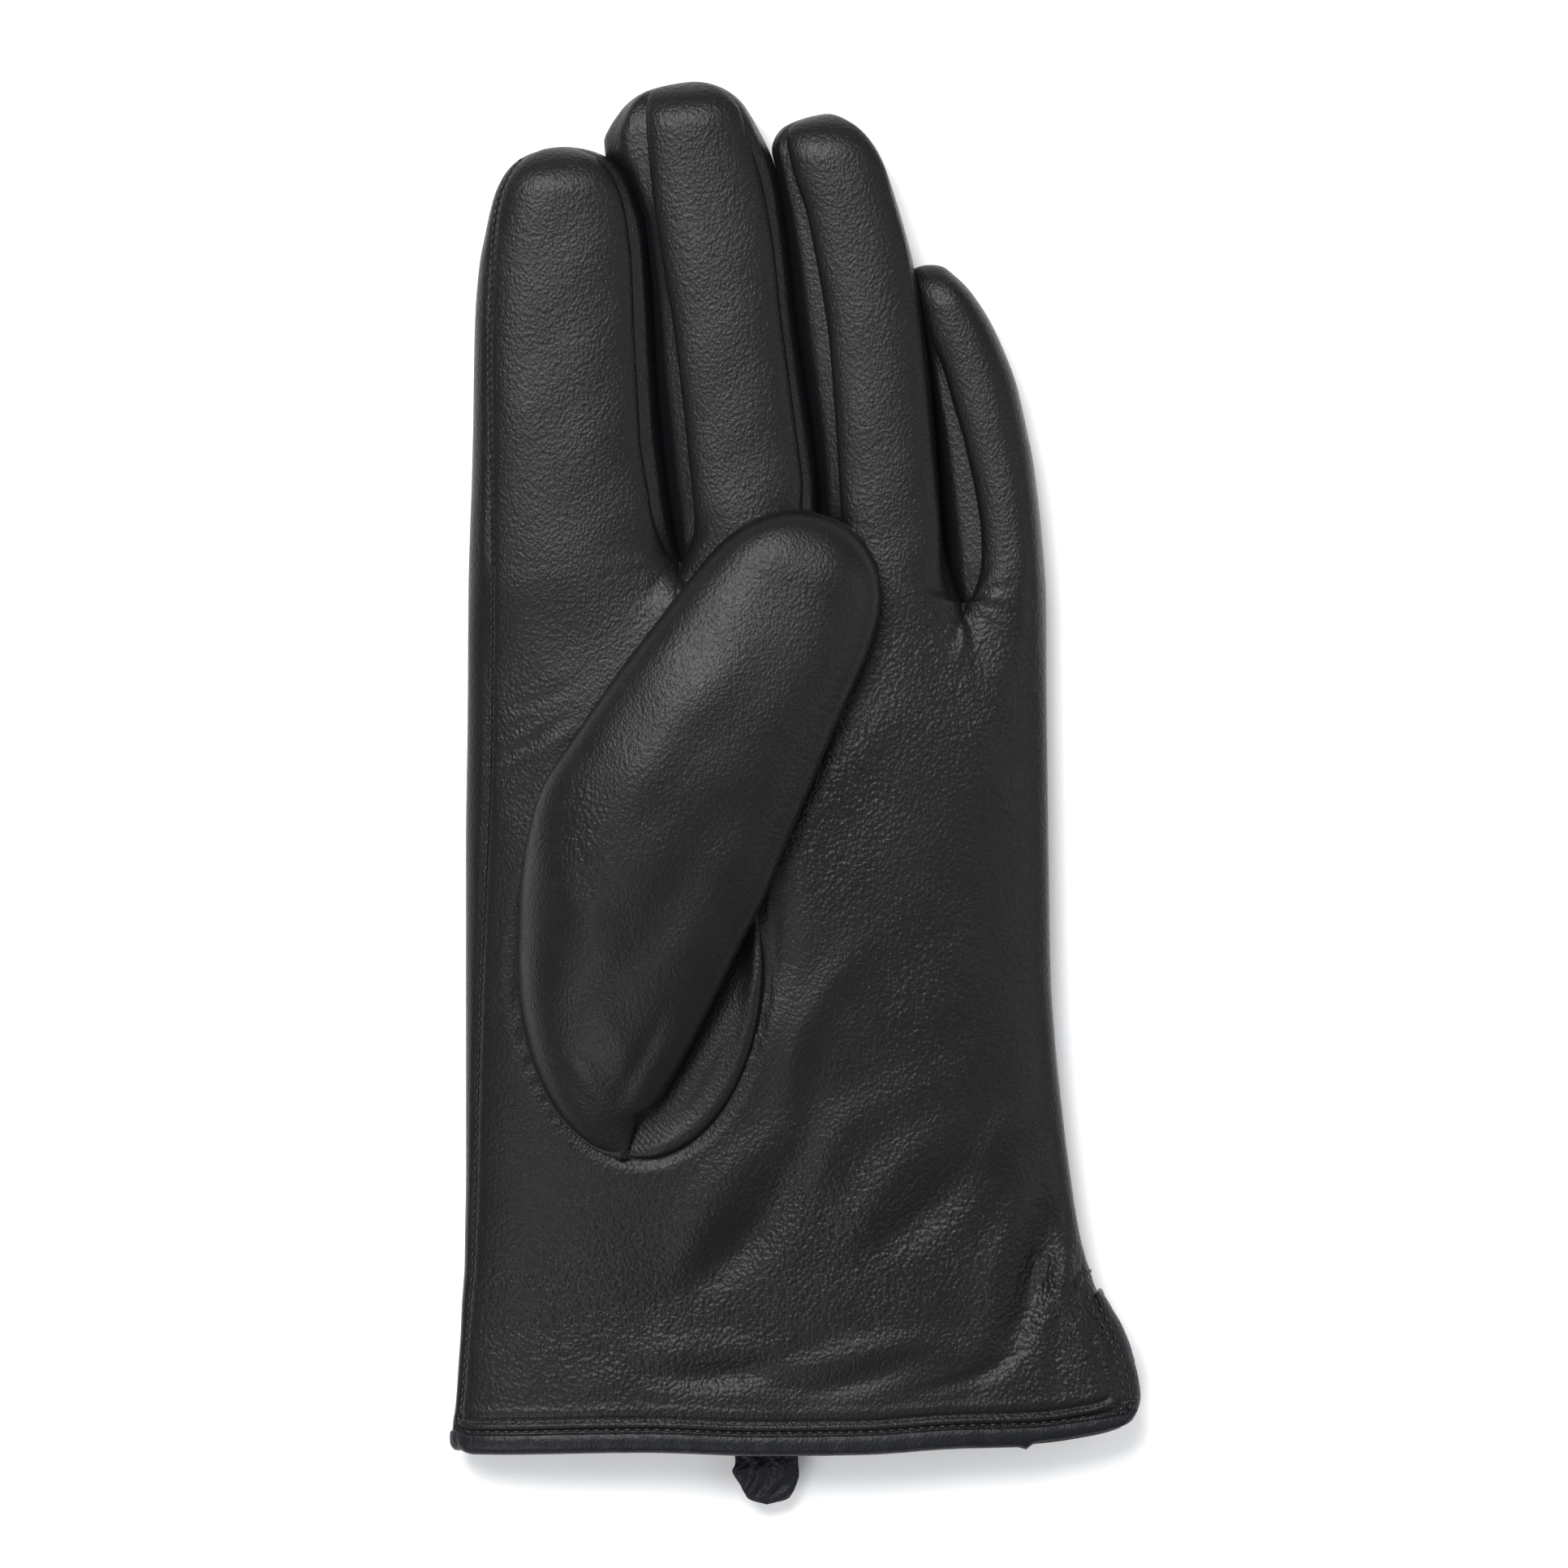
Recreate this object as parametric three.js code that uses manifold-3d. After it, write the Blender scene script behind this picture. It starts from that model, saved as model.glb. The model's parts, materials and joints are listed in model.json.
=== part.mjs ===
// A left-hand leather dress glove lying on its back, palm up, fingers along +Y.
// Millimetres, +Z up. The origin is on the table plane, under the middle of the hand.
import * as THREE from 'three';
import { mergeVertices } from 'three/addons/utils/BufferGeometryUtils.js';
import Module from 'manifold-3d';

const wasm = await Module();
wasm.setup();

// ---- Driving sizes -----------------------------------------------------------------------
const HAND_WIDTH = 108.3; // palm, side seam to fold
const HAND_LENGTH = 166; // cuff edge to the crotch of index and middle
const HAND_THICKNESS = 19.5; // lightly filled hand, table to palm
const LEATHER = 1.0; // skin with its backing
const LINING = 0.8; // knitted lining
const CLEAR = 0.3; // between pieces that touch
const FINGER_GAP = 0.6; // between two fingers side by side
const INDEX_LENGTH = 71.3; // from the bend line at its root to the tip
const MIDDLE_LENGTH = 75.9;
const RING_LENGTH = 70.1;
const LITTLE_LENGTH = 57.4;
const FINGER_THICKNESS = 16; // table to the crown of the index finger
const THUMB_LENGTH = 116; // foot of the oval to the thumb tip, along Y
const THUMB_THICKNESS = 13; // palm to the crown of the thumb
const OVAL_WIDTH = 46; // thumb hole in the palm
const OVAL_LENGTH = 72.4;
const VENT_LENGTH = 29.6; // slit in the little-finger side of the cuff
const VENT_WIDTH = 1.6;
const BINDING = 0.7; // folded strip round the cuff edge
const BINDING_DEPTH = 3.6;
const CUFF_LIFT = 1.2; // the bound cuff edge stands this far off the table
const CORNER_RISE = 6.5; // rounded corner of the cuff beside the vent
const TAB_WIDTH = 12;
const TAB_LENGTH = 7.8; // free part of the pull tab
const TAB_THICKNESS = 1.2;
const THREAD = 0.4; // height of a row of stitches
const THREAD_WIDTH = 0.8;

// ---- Shape constants ---------------------------------------------------------------------
const SQUARENESS = 2.6; // exponent of the rounded cross-sections
const WAIST = 0.45; // widest level of a section, as a share of its height
const FLATTEN = 1.2; // how far a section would dip below the table if it were not flat
const HAND_SEAM = 156; // degrees round the section, side seam of the hand
const INDEX_SEAM = 138;
const WALL_EDGE = 26; // the side strips reach this far up and down, in degrees
const STUB_LIFT = 0.15; // the finger stubs stand this far off the table, clear of the flat back
const THUMB_WAIST = 0.4; // level of the thumb tip, as a share of its height
const HAND_STEPS = 22; // sides of the hand section, the same in skin and lining so they nest
const DEG = Math.PI / 180;

const wide = HAND_WIDTH / 108.3; // the outline tables below are drawn for this width
const long = HAND_LENGTH / 166; // and for this length
const deep = HAND_THICKNESS / 19.5;
const SKIN = LEATHER + 2 * CLEAR; // outer face of the lining, which hangs loosely
const INNER = SKIN + LINING; // inner face of the lining
const CUFF_Y = -82.5 * long;
const CROTCH_Y = CUFF_Y + HAND_LENGTH;

// Hand outline: [y, left, right, height, lift off the table].
const HAND_ROWS = [
  [-82.5, -56.2, 71.0, 15, CUFF_LIFT],
  [-75, -56.1, 71.2, 15, CUFF_LIFT],
  [-66, -55.6, 70.0, 15.2, 0],
  [-58, -55.0, 66.6, 15.6, 0],
  [-49, -54.6, 62.2, 16, 0],
  [-32, -54.2, 58.5, 17.4, 0],
  [-8, -54.2, 55.8, 19, 0],
  [20, -54.2, 54.7, 19.5, 0],
  [50, -54.0, 54.2, 18.6, 0],
  [72, -53.8, 53.9, 17, 0],
  [83.5, -53.8, 53.8, 16, 0],
].map(([y, l, r, h, f]) => [y * long, l * wide, r * wide, h * deep, f]);

// Fingers. Rows run along the finger from its root: [distance, left, right].
// Distances below zero are the stub that stays on the hand.
const share = (length, drawn, rows) => rows.map(([r, a, b]) => [r > 0 ? (r * length) / drawn : r * long, a * wide, b * wide]);
const FINGERS = {
  index: {
    root: [-34.3, 89.1], lean: 1.5, length: INDEX_LENGTH, tip: -0.2, seamed: true,
    thick: FINGER_THICKNESS,
    rows: share(INDEX_LENGTH, 71.3, [
      [-13, -19.5, 18.9], [-6, -19.4, 18.8], [0, -19.2, 18.4], [20, -18.1, 16.7],
      [40, -17.2, 15.9], [50, -16.1, 15.3], [57, -14.5, 14.5],
    ]),
  },
  middle: {
    root: [-2.6, 97.4], lean: 7.1, length: MIDDLE_LENGTH, tip: -1.2,
    thick: FINGER_THICKNESS,
    rows: share(MIDDLE_LENGTH, 75.9, [
      [-22, -13.0, 12.0], [-8, -13.3, 13.3], [0, -13.5, 13.6], [16, -13.4, 13.6],
      [32, -12.4, 13.4], [45, -11.8, 13.6], [55, -13.0, 13.3], [63, -16.4, 11.4],
    ]),
  },
  ring: {
    root: [22.6, 97.4], lean: 8.7, length: RING_LENGTH, tip: -1.8,
    thick: FINGER_THICKNESS - 1,
    rows: share(RING_LENGTH, 70.1, [
      [-29, -13.8, 10.0], [-14, -12.4, 9.6], [-7, -11.8, 10.2], [0, -11.1, 10.8], [15, -10.4, 11.9],
      [30, -10.4, 12.6], [42, -10.0, 12.1], [52, -9.8, 11.0], [58, -9.7, 10.0],
    ]),
  },
  little: {
    root: [44.4, 82.3], lean: 12.8, length: LITTLE_LENGTH, tip: 0.4, folded: true,
    thick: FINGER_THICKNESS - 2,
    rows: share(LITTLE_LENGTH, 57.4, [
      [-14, -8.3, 6.3], [-7, -7.6, 7.8], [0, -8.2, 9.2], [10, -7.6, 10.5],
      [20, -6.1, 11.3], [30, -4.7, 11.3], [40, -3.5, 10.2], [46, -2.9, 8.6],
    ]),
  },
};
for (const finger of Object.values(FINGERS)) {
  finger.root = [finger.root[0] * wide, finger.root[1] * long];
}

// Thumb outline, folded across the palm: [share of its length, left, right, share of its height].
const THUMB_FOOT = -24.6 * long;
const OVAL = { x: -21.4 * wide, y: THUMB_FOOT - 4 + OVAL_LENGTH / 2, a: OVAL_WIDTH / 2, b: OVAL_LENGTH / 2 };
// Half the width of the oval at a given level, drawn in by an inset.
const ovalReach = (y, inset) => (OVAL.a - inset) * Math.sqrt(Math.max(0, 1 - ((y - OVAL.y) / (OVAL.b - inset)) ** 2));
const THUMB_ROWS = [
  [0.0, -32.2, -24.6, 0.25], [0.06, -37.4, -19.6, 0.48], [0.127, -41.2, -14.4, 0.68],
  [0.205, -43.4, -9.4, 0.83], [0.296, -44.0, -4.1, 0.93], [0.388, -43.9, 1.5, 1],
  [0.48, -42.6, 6.0, 1], [0.564, -39.7, 10.3, 1], [0.64, -34.2, 13.4, 1],
  [0.75, -25.4, 19.1, 1], [0.845, -17.0, 22.9, 1], [0.907, -11.4, 22.4, 1],
].map(([s, l, r, h]) => {
  const y = THUMB_FOOT + s * THUMB_LENGTH;
  const left = y < OVAL.y ? Math.max(l * wide, OVAL.x - ovalReach(y, CLEAR)) : l * wide;
  return [y, left, Math.max(r * wide, left + 2 * THUMB_THICKNESS * h), h * THUMB_THICKNESS];
});
const THUMB_TIP = THUMB_FOOT + THUMB_LENGTH;
const THUMB_TIP_X = 7.4 * wide;

// ---- Small helpers -----------------------------------------------------------------------
const power = (value) => Math.sign(value) * Math.abs(value) ** (2 / SQUARENESS);
const mix = (a, b, t) => a + (b - a) * t;

// Interpolate a table of rows at a given first value.
function at(rows, value) {
  const last = rows.length - 1;
  if (value <= rows[0][0]) return rows[0];
  if (value >= rows[last][0]) return rows[last];
  const i = rows.findIndex((row) => row[0] > value) - 1;
  const t = (value - rows[i][0]) / (rows[i + 1][0] - rows[i][0]);
  return rows[i].map((number, k) => mix(number, rows[i + 1][k], t));
}

// A point on a rounded section with a flat underside, moved inward by an inset.
function section(left, right, height, lift, inset, angle, scale = 1) {
  const waist = lift + WAIST * (height - lift);
  const x = (left + right) / 2 + ((right - left) / 2 - inset) * power(Math.cos(angle)) * scale;
  const rise = power(Math.sin(angle)) * scale;
  if (rise >= 0) return [x, waist + (height - waist - inset) * rise];
  return [x, Math.max(lift + inset, waist + (waist - lift + FLATTEN - inset) * rise)];
}

// Weld equal points, drop collapsed triangles and turn the faces outward.
function tidy(points, faces) {
  let geometry = new THREE.BufferGeometry();
  geometry.setAttribute('position', new THREE.Float32BufferAttribute(points.flat(), 3));
  geometry.setIndex(faces.flat());
  geometry = mergeVertices(geometry, 1e-4);
  const index = geometry.index.array;
  const place = geometry.attributes.position;
  const kept = [];
  let volume = 0;
  const [a, b, c] = [new THREE.Vector3(), new THREE.Vector3(), new THREE.Vector3()];
  for (let i = 0; i < index.length; i += 3) {
    const [p, q, r] = [index[i], index[i + 1], index[i + 2]];
    if (p === q || q === r || r === p) continue;
    kept.push([p, q, r]);
    a.fromBufferAttribute(place, p);
    b.fromBufferAttribute(place, q);
    c.fromBufferAttribute(place, r);
    volume += a.dot(b.cross(c));
  }
  geometry.setIndex(kept.flatMap(([p, q, r]) => (volume > 0 ? [p, q, r] : [p, r, q])));
  return geometry;
}

// A sheet with thickness: an outer and an inner grid joined round their free edges.
function sheet(outer, inner, nu, nv, around = false) {
  const columns = around ? nu : nu + 1;
  const points = [];
  for (const face of [outer, inner]) {
    for (let j = 0; j <= nv; j++) {
      for (let i = 0; i < columns; i++) points.push(face(i / nu, j));
    }
  }
  const inside = columns * (nv + 1);
  const id = (i, j) => j * columns + (i % columns);
  const faces = [];
  const quad = (p, q, r, s) => faces.push([p, q, r], [p, r, s]);
  for (let j = 0; j < nv; j++) {
    for (let i = 0; i < nu; i++) {
      const corners = [id(i, j), id(i, j + 1), id(i + 1, j + 1), id(i + 1, j)];
      quad(...corners);
      quad(...corners.reverse().map((n) => n + inside));
    }
  }
  const rim = (p, q) => quad(p, q, q + inside, p + inside);
  for (let i = 0; i < nu; i++) {
    rim(id(i, 0), id(i + 1, 0));
    rim(id(i + 1, nv), id(i, nv));
  }
  for (let j = 0; j < nv && !around; j++) {
    rim(id(0, j + 1), id(0, j));
    rim(id(nu, j), id(nu, j + 1));
  }
  return tidy(points, faces);
}

// A filled body from closed rings of points. Each end is closed by strips that join the
// points lying opposite each other, so bodies with other insets nest cleanly.
function body(rings) {
  const points = rings.flat();
  const n = rings[0].length;
  const faces = [];
  for (let j = 0; j + 1 < rings.length; j++) {
    for (let i = 0; i < n; i++) {
      const [p, q] = [j * n + i, j * n + ((i + 1) % n)];
      faces.push([p, p + n, q + n], [p, q + n, q]);
    }
  }
  for (const start of [0, points.length - n]) {
    for (let i = 0; i < n / 2; i++) {
      const [a, b, c, d] = [i, i + 1, n - i - 1, (n - i) % n].map((k) => start + k);
      faces.push(start === 0 ? [a, b, c] : [a, c, b], start === 0 ? [a, c, d] : [a, d, c]);
    }
  }
  return tidy(points, faces);
}

function toManifold(geometry) {
  const mesh = new wasm.Mesh({
    numProp: 3,
    vertProperties: new Float32Array(geometry.attributes.position.array),
    triVerts: new Uint32Array(geometry.index.array),
  });
  return new wasm.Manifold(mesh);
}

// Back to a geometry; specks of rounding under a hundredth of a cubic millimetre are left out.
function fromManifold(solid) {
  const pieces = solid.decompose().filter((piece) => piece.volume() > 0.01);
  const mesh = wasm.Manifold.union(pieces).getMesh();
  const geometry = new THREE.BufferGeometry();
  geometry.setAttribute('position', new THREE.Float32BufferAttribute(mesh.vertProperties, 3));
  geometry.setIndex([...mesh.triVerts]);
  return geometry;
}

// ---- Hand --------------------------------------------------------------------------------
// The cuff corner beside the vent is rounded: the edge there rises toward the fingers,
// and the far end slopes down from the middle finger to the little finger.
function bend(x, y) {
  const corner = Math.max(0, (x - 30 * wide) / (41 * wide)) ** 3 * CORNER_RISE;
  const low = Math.min(1, Math.max(0, (y - 20 * long) / (CROTCH_Y - 20 * long)));
  const slope = Math.max(0, x - 12 * wide) * 0.33;
  return corner * Math.min(1, Math.max(0, (-40 * long - y) / (42.5 * long))) - slope * low;
}

function handPoint(angle, y, inset) {
  const [, left, right, height, lift] = at(HAND_ROWS, y);
  const [x, z] = section(left, right, height, lift, inset, angle);
  return [x, y + bend(x, y), z];
}

function palmTop(x, y) {
  const [, left, right, height, lift] = at(HAND_ROWS, y - bend(x, y));
  const waist = lift + WAIST * (height - lift);
  const across = Math.min(1, Math.abs((x - (left + right) / 2) / ((right - left) / 2)));
  return waist + (height - waist) * (1 - across ** SQUARENESS) ** (1 / SQUARENESS);
}

// The filled hand, inset from the outer skin; a hollow runs out through the cuff.
function handBody(inset, steps, hollow) {
  const ys = HAND_ROWS.map((row) => row[0]);
  ys[0] -= hollow ? 2 : 0;
  ys[ys.length - 1] -= inset;
  return body(ys.map((y) => Array.from({ length: steps }, (_, i) => {
    const angle = (i / steps) * 2 * Math.PI;
    const [, left, right, height, lift] = at(HAND_ROWS, y);
    const [x, z] = section(left, right, height, lift, inset, angle);
    return [x, y + bend(x, Math.max(y, CUFF_Y)), z];
  })));
}

// ---- Fingers -----------------------------------------------------------------------------
const TIP_STEPS = [22, 45, 68, 90].map((degrees) => degrees * DEG);

function place(finger, s, r, z) {
  const lean = finger.lean * DEG;
  const x = finger.root[0] + s * Math.cos(lean) - r * Math.sin(lean);
  return [x, finger.root[1] + s * Math.sin(lean) + r * Math.cos(lean), z];
}

const heightAt = (finger, r) => finger.thick - 3 * Math.max(0, Math.min(1, r / finger.length));

// Point of a finger: row numbers count from its root and end in the rounded tip.
function fingerPoint(finger, angle, row, inset) {
  const table = finger.rows.filter(([r]) => r >= 0);
  const ease = FINGER_GAP / 2;
  const last = table[table.length - 1];
  if (row < table.length) {
    const [r, left, right] = table[row];
    const along = row === 0 ? CLEAR / 2 : r;
    const [s, z] = section(left + ease, right - ease, heightAt(finger, r), 0, inset, angle);
    return place(finger, s, along, z);
  }
  const turn = TIP_STEPS[row - table.length];
  const [r, left, right] = last;
  const drift = (finger.tip - (left + right) / 2) * Math.sin(turn);
  const height = heightAt(finger, r);
  const shrink = turn > 89 * DEG ? 0 : Math.cos(turn);
  const [s, z] = section(left + ease, right - ease, height, 0, inset, angle, shrink);
  return place(finger, s + drift, r + (finger.length - r - inset) * Math.sin(turn), z);
}

const lastRow = (finger) => finger.rows.filter(([r]) => r >= 0).length - 1 + TIP_STEPS.length;

// The face of a finger between two seams; the seams close on the tip.
function fingerFace(finger, from, to, steps) {
  const rows = lastRow(finger);
  const tipStart = rows - TIP_STEPS.length;
  const edge = (angle, row) => {
    const near = angle > 90 && angle < 270 ? 180 : angle >= 270 ? 360 : angle < -90 ? -180 : 0;
    const t = Math.max(0, (row - tipStart) / TIP_STEPS.length);
    const away = (angle - near) * (1 - t) + Math.sign(angle - near) * 4 * t;
    return (near + away) * DEG;
  };
  const face = (inset) => (u, row) => {
    const point = fingerPoint(finger, mix(edge(from, row), edge(to, row), u), row, inset);
    const level = WAIST * heightAt(finger, finger.length);
    const up = (from + to) / 2 > 0 && (from + to) / 2 < 180;
    if (row === rows) point[2] = level + (up ? CLEAR : -CLEAR);
    return point;
  };
  return sheet(face(0), face(LEATHER), steps, rows);
}

// The narrow side strip between palm face and back face; it ends before the tip.
function fingerWall(finger, side) {
  const centre = side > 0 ? 0 : 180;
  const reach = WALL_EDGE - 4;
  const rows = lastRow(finger) - TIP_STEPS.length;
  const face = (inset) => (u, row) => fingerPoint(finger, (centre + mix(-reach, reach, u)) * DEG, row, inset);
  return sheet(face(0), face(LEATHER), 2, rows);
}

const stallLining = (finger, steps) => sheet(
  (u, row) => fingerPoint(finger, u * 2 * Math.PI, row, SKIN),
  (u, row) => fingerPoint(finger, u * 2 * Math.PI, row, INNER),
  steps, lastRow(finger), true,
);

// The stub on the hand that a finger stall is sewn to.
function stubBody(finger, inset, steps, hollow) {
  const rows = finger.rows.filter(([r]) => r <= 0);
  return body(rows.map(([r, left, right], row) => Array.from({ length: steps }, (_, i) => {
    const start = row === 0 ? r + inset : r;
    const end = row === rows.length - 1 ? (hollow ? 1 : -CLEAR / 2) : start;
    const angle = (i / steps) * 2 * Math.PI;
    const ease = FINGER_GAP / 2;
    const deepEnd = row === 0 ? finger.thick - 1 : finger.thick;
    const [s, z] = section(left + ease, right - ease, deepEnd, STUB_LIFT, inset, angle);
    return place(finger, s, end, z);
  })));
}

function handShell(outerInset, innerInset, steps) {
  let outer = toManifold(handBody(outerInset, steps, false));
  let inner = toManifold(handBody(innerInset, steps, true));
  for (const finger of Object.values(FINGERS)) {
    outer = outer.add(toManifold(stubBody(finger, outerInset, 16, false)));
    inner = inner.add(toManifold(stubBody(finger, innerInset, 16, true)));
  }
  return outer.subtract(inner);
}

// ---- Cuts --------------------------------------------------------------------------------
function ovalPrism(grow) {
  const shape = new THREE.Shape();
  shape.absellipse(OVAL.x, OVAL.y, OVAL.a + grow, OVAL.b + grow, 0, 2 * Math.PI);
  const depth = HAND_THICKNESS + 2 * THUMB_THICKNESS;
  const prism = new THREE.ExtrudeGeometry(shape, { depth, bevelEnabled: false, curveSegments: 14 });
  prism.deleteAttribute('uv');
  prism.deleteAttribute('normal');
  prism.translate(0, 0, HAND_THICKNESS / 2);
  return toManifold(mergeVertices(prism, 1e-4));
}

// A thin upright cut through the hand's wall along one line of the section.
function slit(degrees, yStart, yEnd, half) {
  const rows = 8;
  const face = (inset) => (u, row) => {
    const y = mix(yStart, yEnd, row / rows);
    const [x, py, z] = handPoint(degrees * DEG, y, inset);
    const [x2, , z2] = handPoint((degrees + 1) * DEG, y, inset);
    const length = Math.hypot(x2 - x, z2 - z);
    const shift = mix(-half, half, u) / length;
    return [x + (x2 - x) * shift, py, z + (z2 - z) * shift];
  };
  return toManifold(sheet(face(-2), face(INNER + 1), 1, rows));
}

const ventTop = CUFF_Y + VENT_LENGTH;
const vent = slit(0, CUFF_Y - 3, ventTop, VENT_WIDTH / 2);

function trank() {
  return handShell(0, LEATHER, HAND_STEPS)
    .subtract(ovalPrism(0))
    .subtract(slit(HAND_SEAM, CUFF_Y - 3, 70 * long, CLEAR / 2))
    .subtract(vent);
}

function handLining() {
  return handShell(SKIN, INNER, HAND_STEPS).subtract(ovalPrism(LEATHER)).subtract(vent);
}

// ---- Cuff trim ---------------------------------------------------------------------------
// A profile of [inset, distance above the cuff edge], listed anticlockwise, carried round
// the cuff and left open at the vent.
function cuffBand(profile, steps) {
  const gap = 5 * DEG;
  const points = [];
  for (let i = 0; i <= steps; i++) {
    const angle = mix(gap, 2 * Math.PI - gap, i / steps);
    for (const [inset, above] of profile) {
      const [x, , z] = handPoint(angle, CUFF_Y, inset);
      const level = CUFF_Y + above;
      points.push([x, level + bend(x, CUFF_Y), z]);
    }
  }
  const n = profile.length;
  const faces = [];
  for (let i = 0; i < steps; i++) {
    for (let k = 0; k < n; k++) {
      const [p, q] = [i * n + k, i * n + ((k + 1) % n)];
      faces.push([p, q, q + n], [p, q + n, p + n]);
    }
  }
  const outline = profile.map(([inset, above]) => new THREE.Vector2(inset, above));
  for (const [a, b, c] of THREE.ShapeUtils.triangulateShape(outline, [])) {
    faces.push([a, c, b]);
    faces.push([steps * n + a, steps * n + b, steps * n + c]);
  }
  return tidy(points, faces);
}

const inside = INNER + CLEAR;
const bindingProfile = [
  [-CLEAR / 2, BINDING_DEPTH], [-CLEAR / 2 - BINDING, BINDING_DEPTH], [-CLEAR / 2 - BINDING, -CLEAR - BINDING],
  [inside, -CLEAR - BINDING], [inside, -CLEAR], [-CLEAR / 2, -CLEAR],
];
const stitchLow = BINDING_DEPTH + CLEAR;
const cuffStitchProfile = [
  [-CLEAR / 2, stitchLow + THREAD_WIDTH], [-CLEAR / 2 - THREAD, stitchLow + THREAD_WIDTH],
  [-CLEAR / 2 - THREAD, stitchLow], [-CLEAR / 2, stitchLow],
];

// ---- Rows of stitches --------------------------------------------------------------------
function handSeamStitches() {
  const rows = 10;
  const step = (THREAD_WIDTH / (HAND_WIDTH / 2)) * 57.3 * 1.4;
  const start = HAND_SEAM - 3;
  const face = (inset) => (u, row) => {
    const y = mix(CUFF_Y + stitchLow + 2 * THREAD_WIDTH, 74 * long, row / rows);
    return handPoint((start - step * u) * DEG, y, inset);
  };
  return sheet(face(-CLEAR / 2 - THREAD), face(-CLEAR / 2), 1, rows);
}

function indexSeamStitches() {
  const finger = FINGERS.index;
  const rows = lastRow(finger) - TIP_STEPS.length;
  const face = (inset) => (u, row) => fingerPoint(finger, (INDEX_SEAM - 5 - 3 * u) * DEG, row, inset);
  return sheet(face(-CLEAR / 2 - THREAD), face(-CLEAR / 2), 1, rows);
}

function thumbSeamStitches() {
  const rows = 28;
  const face = (level) => (u, row) => {
    const turn = mix(190, 370, row / rows) * DEG;
    const out = 0.7 + THREAD_WIDTH * u;
    const x = OVAL.x + (OVAL.a + out) * Math.cos(turn);
    const y = OVAL.y + (OVAL.b + out) * Math.sin(turn);
    return [x, y, palmTop(x, y) + level];
  };
  return sheet(face(CLEAR / 2 + THREAD), face(CLEAR / 2), 1, rows);
}

// ---- Thumb -------------------------------------------------------------------------------
const thumbBase = (x, y) => palmTop(x, y) + CLEAR;

function thumbSpan(row, inset) {
  if (row < THUMB_ROWS.length) return { r: THUMB_ROWS[row], scale: 1, drift: 0, y: THUMB_ROWS[row][0], turn: 0 };
  const last = THUMB_ROWS[THUMB_ROWS.length - 1];
  const turn = TIP_STEPS[row - THUMB_ROWS.length];
  const scale = turn > 89 * DEG ? 0 : Math.cos(turn);
  const drift = (THUMB_TIP_X - (last[1] + last[2]) / 2) * Math.sin(turn);
  return { r: last, scale, drift, y: last[0] + (THUMB_TIP - last[0] - inset) * Math.sin(turn), turn };
}

// u runs over the crown from the right edge to the left edge.
function thumbCrown(u, row, inset, foot = 0) {
  const { r, scale, drift, y } = thumbSpan(row, inset);
  const angle = u * Math.PI;
  const half = ((r[2] - r[1]) / 2 - inset) * scale;
  const x = (r[1] + r[2]) / 2 + drift + half * power(Math.cos(angle));
  const rise = power(Math.sin(angle)) * scale;
  const low = r[3] * THUMB_WAIST * (1 - scale);
  const level = Math.max(foot * scale + low, low + (r[3] - inset - low) * rise);
  return [x, y, thumbBase(x, y) + level];
}

function thumbFloor(u, row, inset, foot) {
  const { r, scale, drift, y } = thumbSpan(row, inset);
  const half = ((r[2] - r[1]) / 2 - inset) * scale;
  const x = (r[1] + r[2]) / 2 + drift + mix(-half, half, u);
  return [x, y, thumbBase(x, y) + foot * scale + r[3] * THUMB_WAIST * (1 - scale)];
}

const THUMB_END = THUMB_ROWS.length - 1 + TIP_STEPS.length;

function thumbUpper() {
  return sheet(
    (u, row) => thumbCrown(u, row, 0),
    (u, row) => thumbCrown(u, row, LEATHER),
    10, THUMB_END,
  );
}

// The underside of the thumb beyond the oval, where it lies over the palm and fingers.
function thumbUnder() {
  const first = THUMB_ROWS.findIndex(([y]) => y > OVAL.y + OVAL.b);
  const rows = THUMB_ROWS.length - 1 - first;
  const face = (foot) => (u, row) => thumbFloor(u, first + row, SKIN, foot);
  return sheet(face(LEATHER), face(0), 6, rows);
}

function thumbBody(inset, steps) {
  const rings = [];
  for (let row = 0; row < THUMB_END; row++) {
    const ring = Array.from({ length: steps + 1 }, (_, i) => thumbCrown(i / steps, row, inset, inset));
    for (let i = 1; i < 5; i++) ring.push(thumbFloor(i / 5, row, inset, inset));
    rings.push(ring);
  }
  return toManifold(body(rings));
}

function thumbLining() {
  const first = THUMB_ROWS[2][0];
  const keep = new THREE.BoxGeometry(4 * HAND_WIDTH, 4 * THUMB_LENGTH, 8 * THUMB_THICKNESS);
  keep.translate(0, first + 2 * THUMB_LENGTH, HAND_THICKNESS);
  keep.deleteAttribute('uv');
  keep.deleteAttribute('normal');
  const shell = thumbBody(SKIN, 10).subtract(thumbBody(INNER, 10));
  return shell.subtract(ovalPrism(1)).intersect(toManifold(mergeVertices(keep, 1e-4)));
}

// The crescent of leather between the folded thumb and its oval seam.
function thumbGusset() {
  const rows = 12;
  const low = OVAL.y - OVAL.b + 1.5;
  const high = OVAL.y + 0.35 * OVAL.b;
  const face = (depth) => (u, row) => {
    const y = mix(low, high, row / rows);
    const right = OVAL.x + ovalReach(y, CLEAR);
    const fold = Math.max(at(THUMB_ROWS, y)[2] - 2.5, OVAL.x - ovalReach(y, 2 * CLEAR));
    const x = mix(Math.min(fold, right - 0.5), right, u);
    return [x, y, palmTop(x, y) - depth];
  };
  return sheet(face(0), face(LEATHER), 3, rows);
}

// ---- Pull tab ----------------------------------------------------------------------------
const TAB_X = 1.8 * wide;
const TAB_Z = CUFF_LIFT + inside + CLEAR;
const TAB_BEND = CUFF_Y - CLEAR - BINDING - 1;

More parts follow.
